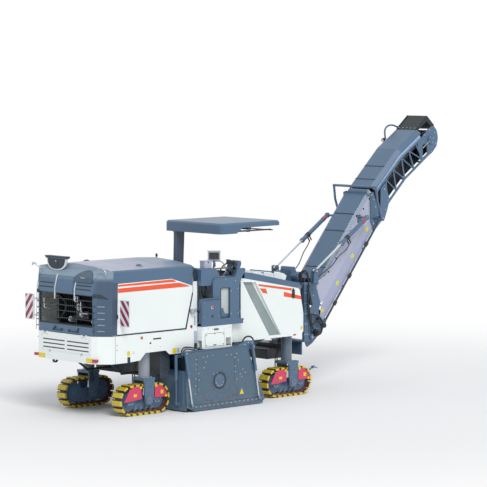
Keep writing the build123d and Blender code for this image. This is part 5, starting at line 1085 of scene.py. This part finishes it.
bolts(bm, [(0.93 + 0.119 * n, 0.088 + 0.0012 * n) for n in range(17)], FACE, -1, 0.013, 1)
slab(bm, (0.945, FACE - 0.003, 0.135), (2.86, FACE + 0.002, 0.141), 3)
# inside the ring over the drum's drive: a dark rim, two stepped discs and bolts round the lower half
for scale, depth, material in ((0.90, 0.0012, 3), (0.72, 0.006, 0), (0.46, 0.009, 0)):
    cut_plate(bm, circle(DRIVE_X, DRIVE_Z, DRIVE_R * scale, 36), FACE - depth, FACE + 0.002, material)
bolts(bm, circle(DRIVE_X, DRIVE_Z, 0.11, 5, math.radians(205), math.radians(33)), FACE - 0.006, -1, 0.010, 1)
# seams of the access plates at the front and rear
slab(bm, (2.100, FACE - 0.0012, 0.53), (2.106, FACE + 0.001, 1.08), 3)
slab(bm, (1.070, FACE - 0.0012, 0.33), (1.076, FACE + 0.001, 1.12), 3)
# depth marks in red and the blank triangle
for x, z, w, t in ((1.30, 0.24, 0.012, 0.13), (1.38, 0.195, 0.16, 0.012), (1.45, 0.165, 0.012, 0.06),
                   (1.34, 0.215, 0.06, 0.012), (1.95, 0.215, 0.16, 0.012), (2.17, 0.30, 0.012, 0.15),
                   (2.10, 0.255, 0.10, 0.012), (1.90, 0.190, 0.012, 0.06), (2.04, 0.235, 0.012, 0.08)):
    slab(bm, (x - w / 2, FACE - 0.0010, z - t / 2), (x + w / 2, FACE + 0.0005, z + t / 2), 4)
cut_plate(bm, [(2.245, 0.245), (2.365, 0.245), (2.305, 0.365)], FACE - 0.0012, FACE + 0.0005, 5)
piece("right_plate_bolts_and_ring", bm, "right_side_plate", slate_paint, zinc_bolt, dark_paint, seam_black, pad_red,
      sticker, slot="slate_paint")
LIFT = Vector((-0.1668, 0.0, 0.9860))
bm = bmesh.new()
for x in (0.905, 2.760):
    foot = Vector((x, -1.382, 0.150))
    rod(bm, foot + LIFT * 0.556, foot + LIFT * 0.600, 0.0325, 24)
    rod(bm, foot + LIFT * 1.095, foot + LIFT * 1.115, 0.0325, 24)
    rod(bm, foot + LIFT * 0.66 + Vector((0, -0.028, 0)), foot + LIFT * 0.66 + Vector((0, -0.052, 0)), 0.011, 12,
        material=1)
    rod(bm, foot + LIFT * 1.069 + Vector((0, -0.026, 0)), foot + LIFT * 1.069 + Vector((0, -0.044, 0)), 0.018, 16,
        material=1)
# bolts of the housing's bracket plate
bolts(bm, ((2.16, 1.13), (2.25, 1.12), (2.33, 1.19), (2.42, 1.24), (2.52, 1.28), (2.62, 1.27), (2.44, 1.16)), -1.319,
      -1, 0.011, 1)
piece("plate_cylinder_glands_and_pins", bm, "machine", slate_paint, zinc_bolt, edge=0.002, slot="cylinder_slate")
bm = bmesh.new()
for x in (0.905, 2.760):
    rod(bm, (x, -1.402, 0.140), (x, -1.410, 0.140), 0.020, 16)
    bolt(bm, (x - 0.02, -1.402, 0.160), (0, -1, 0), 0.007)
piece("plate_cylinder_foot_pins", bm, "right_side_plate", zinc_bolt, edge=0.002)
hoses("machine", (
    ("plate_hose_front", 0.017, [(2.36, -1.283, 1.24), (2.40, -1.283, 1.36), (2.52, -1.283, 1.41),
                                 (2.66, -1.283, 1.38), (2.72, -1.283, 1.25), (2.68, -1.283, 1.12)]),
    ("plate_hose_rear", 0.015, [(0.735, -1.283, 1.10), (0.68, -1.283, 1.22), (0.76, -1.283, 1.315),
                                (0.90, -1.283, 1.31), (1.10, -1.283, 1.27), (1.36, -1.283, 1.215)]),
    ("plate_hose_rear_low", 0.013, [(0.76, -1.275, 1.12), (0.72, -1.275, 1.20), (0.82, -1.275, 1.285),
                                    (1.00, -1.275, 1.25), (1.24, -1.275, 1.20)]),
    ("plate_hose_drop", 0.016, [(2.62, -1.285, 1.22), (2.74, -1.285, 1.05), (2.74, -1.285, 0.85),
                                (2.72, -1.285, 0.68)]),
    ("plate_hose_drop_b", 0.016, [(2.56, -1.26, 1.22), (2.68, -1.26, 1.02), (2.70, -1.26, 0.80),
                                  (2.78, -1.26, 0.60)]),
))


# Left side plate: the same thick steel plate inside the frame, with a bolted wear strip, bolt rows and a
# blank triangle. The photo doesn't show this side, so they repeat the right one's.
bm = bmesh.new()
bolts(bm, [(0.98 + 0.12 * n, 0.090) for n in range(11)], -0.226, 1, 0.013)
bolts(bm, ((0.92, 0.25), (0.90, 0.45), (0.90, 0.65), (0.90, 0.85), (2.22, 0.25), (2.22, 0.45), (2.22, 0.65),
           (2.22, 0.85), (1.3, 0.98), (1.8, 0.98)), -0.226, 1, 0.011, 0)
cut_plate(bm, [(1.50, 0.245), (1.62, 0.245), (1.56, 0.365)], -0.2265, -0.2248, 1)
piece("left_plate_bolts_and_triangle", bm, "left_side_plate", zinc_bolt, sticker)


# Between the legs: thin black steel stays under the frame, and at each leg two rubber hoses that run down the
# column to the track's motor.
bm = bmesh.new()
rod(bm, (-0.60, -0.53, 1.09), (-0.20, -0.53, 0.80), 0.022, 16)
rod(bm, (-0.62, 0.53, 1.09), (-0.22, 0.53, 0.80), 0.022, 16)
rod(bm, (0.30, -0.53, 1.12), (0.43, -0.53, 0.98), 0.022, 16)
for side in (-1, 1):
    slab(bm, (-0.66, side * 0.53 - 0.02, 1.06), (-0.56, side * 0.53 + 0.02, 1.34), 0)
    slab(bm, (-0.24, side * 0.53 - 0.02, 0.78), (0.42, side * 0.53 + 0.02, 0.82), 0)
piece("rear_frame_stays", bm, "machine", seam_black, edge=0.003)
# a leg hose's points: ahead of the column, the gap to the second hose, in from the column's middle, and height
LEG_ROUTE = ((-0.06, 0.05, 0.136, 1.24), (-0.10, 0.05, 0.150, 1.05), (-0.13, 0.05, 0.190, 0.86),
             (-0.14, 0.06, 0.200, 0.70), (-0.12, 0.06, 0.203, 0.50))
for leg, (x, y) in LEGS.items():
    inner = 1 if y < 0 else -1
    column = x + COLUMN_AHEAD[leg]
    for k in range(2):
        route = [(column + ahead + apart * k, y + inner * out, z) for ahead, apart, out, z in LEG_ROUTE]
        tube("leg_hose_%s_%d" % (leg, k), route, 0.011, "leg_" + leg, rubber)


# Front right track: a folded steel bracket at its front end that holds a bent feeler rod. Both are sprayed
# slate.
bm = bmesh.new()
slab(bm, (4.635, -0.90, 0.395), (4.700, -0.80, 0.47), 0)
rod(bm, (4.69, -0.85, 0.455), (4.83, -0.85, 0.535), 0.016, 14)
rod(bm, (4.83, -0.85, 0.535), (4.88, -0.85, 0.545), 0.030, 14)
rod(bm, (4.88, -0.85, 0.545), (5.00, -0.85, 0.505), 0.014, 12, end_r=0.006)
piece("track_feeler", bm, "leg_front_right", slate_paint, edge=0.002)


# Slew head: turned pins with retainer plates, round swivels on the head's cheeks, black valve
# blocks, and two rubber hoses a side that run down to the conveyor's foot.
LIFT_FOOT, LIFT_TOP = (5.159, 2.546), (6.752, 3.611)    # the lift cylinders' pins, as X and Z
SWIVEL_X, SWIVEL_Z = 4.960, 2.430
bm = bmesh.new()
for side in (-1, 1):
    for y in (side * 0.662, side * 0.540):
        studs(bm, (LIFT_FOOT,), y - 0.004, y + 0.004, 0.040, 20)
    studs(bm, (LIFT_FOOT,), side * 0.654, side * 0.672, 0.026, 20, 1)
    slab(bm, (5.10, side * 0.654, 2.50), (5.13, side * 0.662, 2.59), 0)
    bolts(bm, circle(SWIVEL_X, SWIVEL_Z, 0.072, 6), side * 0.350, side, 0.008, 1)
    rod(bm, (SWIVEL_X, side * 0.350, SWIVEL_Z), (SWIVEL_X, side * 0.372, SWIVEL_Z), 0.050, 24, end_r=0.040,
        material=2)
    slab(bm, (4.90, side * 0.42 - 0.03, 2.302), (5.00, side * 0.42 + 0.03, 2.40), 2)
    bolts(bm, [(x, z) for z in (1.20, 1.42, 1.64, 1.86, 2.08) for x in (4.93, 4.99)], side * 0.540, side, 0.012, 1)
piece("slew_pins_and_swivels", bm, "slew", slate_paint, zinc_bolt, black_plastic, edge=0.002)
for side, tag in SIDES:
    hoses("slew", (
        ("slew_hose_a_" + tag, 0.018, [(4.96, 0.36, 2.50), (5.02, 0.46, 2.60), (5.05, 0.54, 2.40),
                                       (5.00, 0.565, 2.10), (5.02, 0.570, 1.70), (5.10, 0.56, 1.42),
                                       (5.19, 0.52, 1.30)]),
        ("slew_hose_b_" + tag, 0.014, [(4.93, 0.36, 2.48), (4.98, 0.50, 2.56), (5.02, 0.575, 2.30),
                                       (4.96, 0.585, 1.95), (4.98, 0.590, 1.60), (5.08, 0.57, 1.34),
                                       (5.17, 0.50, 1.20)]),
    ), side)
    bm = bmesh.new()
    slab(bm, (5.020, side * 0.545, 1.50), (5.09, side * 0.60, 1.64), 0)
    slab(bm, (5.000, side * 0.545, 1.86), (5.06, side * 0.62, 1.94), 0)
    rod(bm, (5.17, side * 0.482, 1.12), (5.17, side * 0.520, 1.12), 0.055, 24, material=1)
    bolt(bm, (5.17, side * 0.520, 1.12), (0, side, 0), 0.018, material=2)
    piece("slew_hose_clamps_" + tag, bm, "slew", black_plastic, slate_paint, zinc_bolt, edge=0.004)


# Discharge conveyor: lavender side covers held by black screws, yellow blank stickers, a darker folded lower
# strip, seams across the slate top cover, pins and the drive at the foot, and hoses held along the rail.
for side, tag in SIDES:
    y = side * 0.3866
    bm = bmesh.new()
    a, b = y - side * 0.0006, y + side * 0.0016
    cut_plate(bm, [(5.606, 1.418), (5.740, 1.567), (6.850, 2.954), (7.300, 3.520), (7.165, 3.640), (6.640, 3.110),
                   (5.560, 1.760), (5.530, 1.530)], a, b, 0)
    for x, z in ((5.605, 1.657), (6.065, 2.218), (6.525, 2.779), (6.985, 3.340)):
        cut_plate(bm, [(x - 0.030, z - 0.062), (x + 0.046, z - 0.020), (x + 0.030, z + 0.062),
                       (x - 0.046, z + 0.020)], y, y + side * 0.0028, 1)
    bolts(bm, ((6.700, 3.590), (6.480, 3.325), (6.250, 3.042), (6.020, 2.760), (5.790, 2.478), (5.450, 2.250),
               (5.440, 2.090), (5.470, 1.930), (5.540, 1.780), (7.05, 4.00), (6.87, 3.79)), y, side, 0.014, 2)
    piece("side_cover_films_" + tag, bm, "conveyor", cover_shade, sticker, black_plastic)
bm = bmesh.new()


def sloped(bm, place, angle, half, material=0):
    """A small block turned about the cross axis, half giving its half sizes along, across and up."""
    made = slab(bm, [-h for h in half], half, material)
    bmesh.ops.transform(bm, matrix=Matrix.Translation(place) @ Matrix.Rotation(-angle, 4, "Y"), verts=made)


def on_cover(start, angle, along):
    """X and Z at a distance up a sloping cover from where it starts."""
    return start[0] + along * math.cos(angle), start[1] + along * math.sin(angle)


# the top cover's two slopes: where each starts, and its angle
COVER_FOOT, COVER_BEND, COVER_TOP = (5.600, 2.330), (6.626, 3.631), (7.158, 4.241)
RISE = math.atan2(COVER_BEND[1] - COVER_FOOT[1], COVER_BEND[0] - COVER_FOOT[0])
RISE_2 = math.atan2(COVER_TOP[1] - COVER_BEND[1], COVER_TOP[0] - COVER_BEND[0])
RAIL_RISE = math.atan2(1.587, 1.276)    # the lower rail's angle
SEAM_HALF = 0.30                        # half the width of a cover's seams
for along in (0.30, 1.26):
    x, z = on_cover(COVER_FOOT, RISE, along)
    sloped(bm, (x, 0, z + 0.0035), RISE, (0.010, SEAM_HALF, 0.005), 1)
for along, half_long, half_high, material in ((0.06, 0.012, 0.006, 1), (0.66, 0.014, 0.007, 0)):
    x, z = on_cover(COVER_BEND, RISE_2, along)
    sloped(bm, (x, 0, z + 0.002), RISE_2, (half_long, SEAM_HALF, half_high), material)
for along in (0.45, 0.95, 1.45):
    for y in (-0.27, 0.27):
        x, z = on_cover(COVER_FOOT, RISE, along)
        rod(bm, (x, y, z), (x - 0.006, y, z + 0.006), 0.012, 12, material=2)
for side in (-1, 1):
    fold = (7.400, 3.560)      # the fold pin's cap
    studs(bm, (fold,), side * 0.447, side * 0.463, 0.045, 24)
    bolts(bm, (fold,), side * 0.463, side, 0.018, 2)
    bolts(bm, ((7.16, 3.45), (7.30, 3.62), (7.22, 3.82), (7.16, 3.98), (7.10, 4.08)), side * 0.414, side, 0.014, 2)
    bolts(bm, ((5.12, 1.75), (5.30, 2.00), (5.28, 2.25), (5.36, 1.60), (5.24, 1.44), (5.42, 1.28), (5.52, 1.38),
               (5.33, 2.34)), side * 0.414, side, 0.014, 2)
    rod(bm, (5.600, side * 0.414, 1.335), (5.600, side * 0.470, 1.335), 0.050, 24, material=3)
    rod(bm, (5.350, side * 0.414, 1.200), (5.350, side * 0.500, 1.200), 0.075, 28, material=3)
    rod(bm, (5.350, side * 0.500, 1.200), (5.350, side * 0.540, 1.200), 0.050, 24, end_r=0.040, material=3)
    slab(bm, (5.40, side * 0.414, 1.42), (5.50, side * 0.47, 1.52), 3)
    for x, z in ((6.92, 3.02), (6.40, 2.36), (5.95, 1.80)):
        sloped(bm, (x, side * 0.432, z), RAIL_RISE, (0.05, 0.020, 0.034), 3)
piece("conveyor_seams_and_pins", bm, "conveyor", slate_paint, seam_black, zinc_bolt, black_plastic, edge=0.002)
for side, tag in SIDES:
    hoses("conveyor", (
        ("foot_hose_" + tag, 0.020, [(5.20, 0.47, 1.36), (5.30, 0.50, 1.48), (5.44, 0.49, 1.42), (5.52, 0.48, 1.26),
                                     (5.42, 0.49, 1.14), (5.36, 0.50, 1.18)]),
        ("foot_hose_b_" + tag, 0.016, [(5.26, 0.46, 1.60), (5.38, 0.48, 1.58), (5.50, 0.47, 1.47),
                                       (5.58, 0.46, 1.36)]),
        ("rail_hose_" + tag, 0.012, [(5.62, 0.445, 1.40), (5.90, 0.442, 1.755), (6.40, 0.442, 2.375),
                                     (6.90, 0.442, 3.00), (7.20, 0.445, 3.38), (7.33, 0.450, 3.62)]),
    ), side)
    # lift cylinder: gland, red collar by the upper eye, clamped ports, pin ends, and its sagging hose
    bm = bmesh.new()
    top = Vector((LIFT_TOP[0], side * 0.600, LIFT_TOP[1]))
    run = (Vector((LIFT_FOOT[0], side * 0.600, LIFT_FOOT[1])) - top).normalized()
    rod(bm, top + run * 0.905, top + run * 0.955, 0.056, 24)
    rod(bm, top + run * 0.955, top + run * 0.975, 0.044, 24, material=2)
    rod(bm, top + run * 0.100, top + run * 0.150, 0.051, 24, material=3)
    rod(bm, top + run * 0.160, top + run * 0.175, 0.053, 24)
    down = Vector((0, 0, -1))
    under = (down - run * down.dot(run)).normalized()
    for s in (0.70, 0.76):
        rod(bm, top + run * s - under * 0.052, top + run * s + under * 0.054, 0.018, 12, material=1)
        rod(bm, top + run * s + under * 0.05, top + run * s + under * 0.16, 0.015, 12, material=1)
    rod(bm, top + run * 0.69, top + run * 0.78, 0.055, 24, material=1)
    for s in (-1, 1):
        rod(bm, top + Vector((0, s * 0.027, 0)), top + Vector((0, s * 0.034, 0)), 0.034, 20, material=2)
    piece("lift_cylinder_fittings_" + tag, bm, "lift_cylinder_barrels", slate_paint, black_plastic, zinc_bolt,
          red_button, edge=0.002, slot="cylinder_slate")
    start = top + run * 0.76 + under * 0.15
    tube("lift_hose_" + tag, [tuple(start), (start.x - 0.05, start.y + side * 0.01, start.z - 0.10),
                              (5.95, side * 0.545, 2.83), (5.80, side * 0.500, 2.62), (5.62, side * 0.450, 2.50),
                              (5.45, side * 0.430, 2.40)], 0.011, "conveyor", rubber)


# Upper conveyor: black edge under the pale side panels, seams, screws, head bearings with their take-up screws,
# rubber head hood with pressing bars, and the lamp on its bent rail.
HEAD_X, HEAD_Z = 8.987, 5.237    # the head pulley's bearing
UPPER_FOOT, UPPER_TOP = (7.170, 4.254), (8.016, 5.061)
RUN_UP = math.atan2(UPPER_TOP[1] - UPPER_FOOT[1], UPPER_TOP[0] - UPPER_FOOT[0])
bm = bmesh.new()
for along in (0.22, 0.62):
    x, z = on_cover(UPPER_FOOT, RUN_UP, along)
    sloped(bm, (x, 0, z + 0.002), RUN_UP, (0.010, SEAM_HALF, 0.005), 1)
for side in (-1, 1):
    y = side * 0.3845
    bolts(bm, ((7.45, 4.34), (7.70, 4.57), (7.95, 4.80), (8.10, 4.92), (8.35, 5.09), (8.60, 5.25)), y, side, 0.011, 2)
    a, b = side * 0.378, side * 0.386
    cut_plate(bm, [(7.365, 4.150), (7.440, 4.240), (8.068, 4.822), (8.525, 5.118), (8.745, 5.243), (8.750, 5.205),
                   (8.530, 5.070), (8.080, 4.775), (7.460, 4.195), (7.400, 4.120)], a, b, 3)
    rod(bm, (HEAD_X, side * 0.412, HEAD_Z), (HEAD_X, side * 0.446, HEAD_Z), 0.088, 28)
    rod(bm, (HEAD_X, side * 0.446, HEAD_Z), (HEAD_X, side * 0.470, HEAD_Z), 0.055, 24, end_r=0.045)
    bolts(bm, circle(HEAD_X, HEAD_Z, 0.068, 4, start=0.6), side * 0.446, side, 0.012, 2)
    rod(bm, (8.72, side * 0.428, 5.060), (8.93, side * 0.428, 5.205), 0.011, 12, material=2)
    bolts(bm, ((7.50, 3.75), (7.58, 3.95), (7.48, 4.20)), side * 0.4465, side, 0.012, 2)
    bolts(bm, ((8.78, 5.35), (8.95, 5.46), (9.12, 5.40), (9.17, 5.15), (9.02, 4.98)), side * 0.4125, side, 0.012, 2)
piece("upper_conveyor_trim", bm, "conveyor_head", slate_paint, seam_black, zinc_bolt, black_plastic, edge=0.002)
bm = bmesh.new()
for x0, z0, x1, z1 in ((8.640, 5.480, 8.990, 5.766), (9.015, 5.752, 9.225, 5.555)):
    for y in (-0.285, 0.285):
        rod(bm, (x0, y, z0 + 0.006), (x1, y, z1 + 0.006), 0.008, 8)
for n in range(5):
    y = -0.24 + 0.12 * n
    bolt(bm, (8.665, y, 5.500), (-0.63, 0, 0.77), 0.010, material=1)
piece("head_hood_bars", bm, "conveyor_head", black_plastic, zinc_bolt)
tube("head_lamp_rail", [(8.80, 0.40, 5.50), (8.70, 0.42, 5.555), (8.52, 0.42, 5.560), (8.40, 0.42, 5.49),
                        (8.385, 0.42, 5.36), (8.40, 0.40, 5.24)], 0.019, "conveyor_head", slate_paint)
bm = bmesh.new()
rod(bm, (8.37, 0.42, 5.25), (8.32, 0.42, 5.215), 0.036, 24, end_r=0.048)
rod(bm, (8.322, 0.42, 5.217), (8.315, 0.42, 5.212), 0.044, 24, material=1)
rod(bm, (8.375, 0.42, 5.25), (8.40, 0.42, 5.29), 0.014, 12)
piece("head_work_lamp", bm, "conveyor_head", black_plastic, bright_trim, edge=0.002)
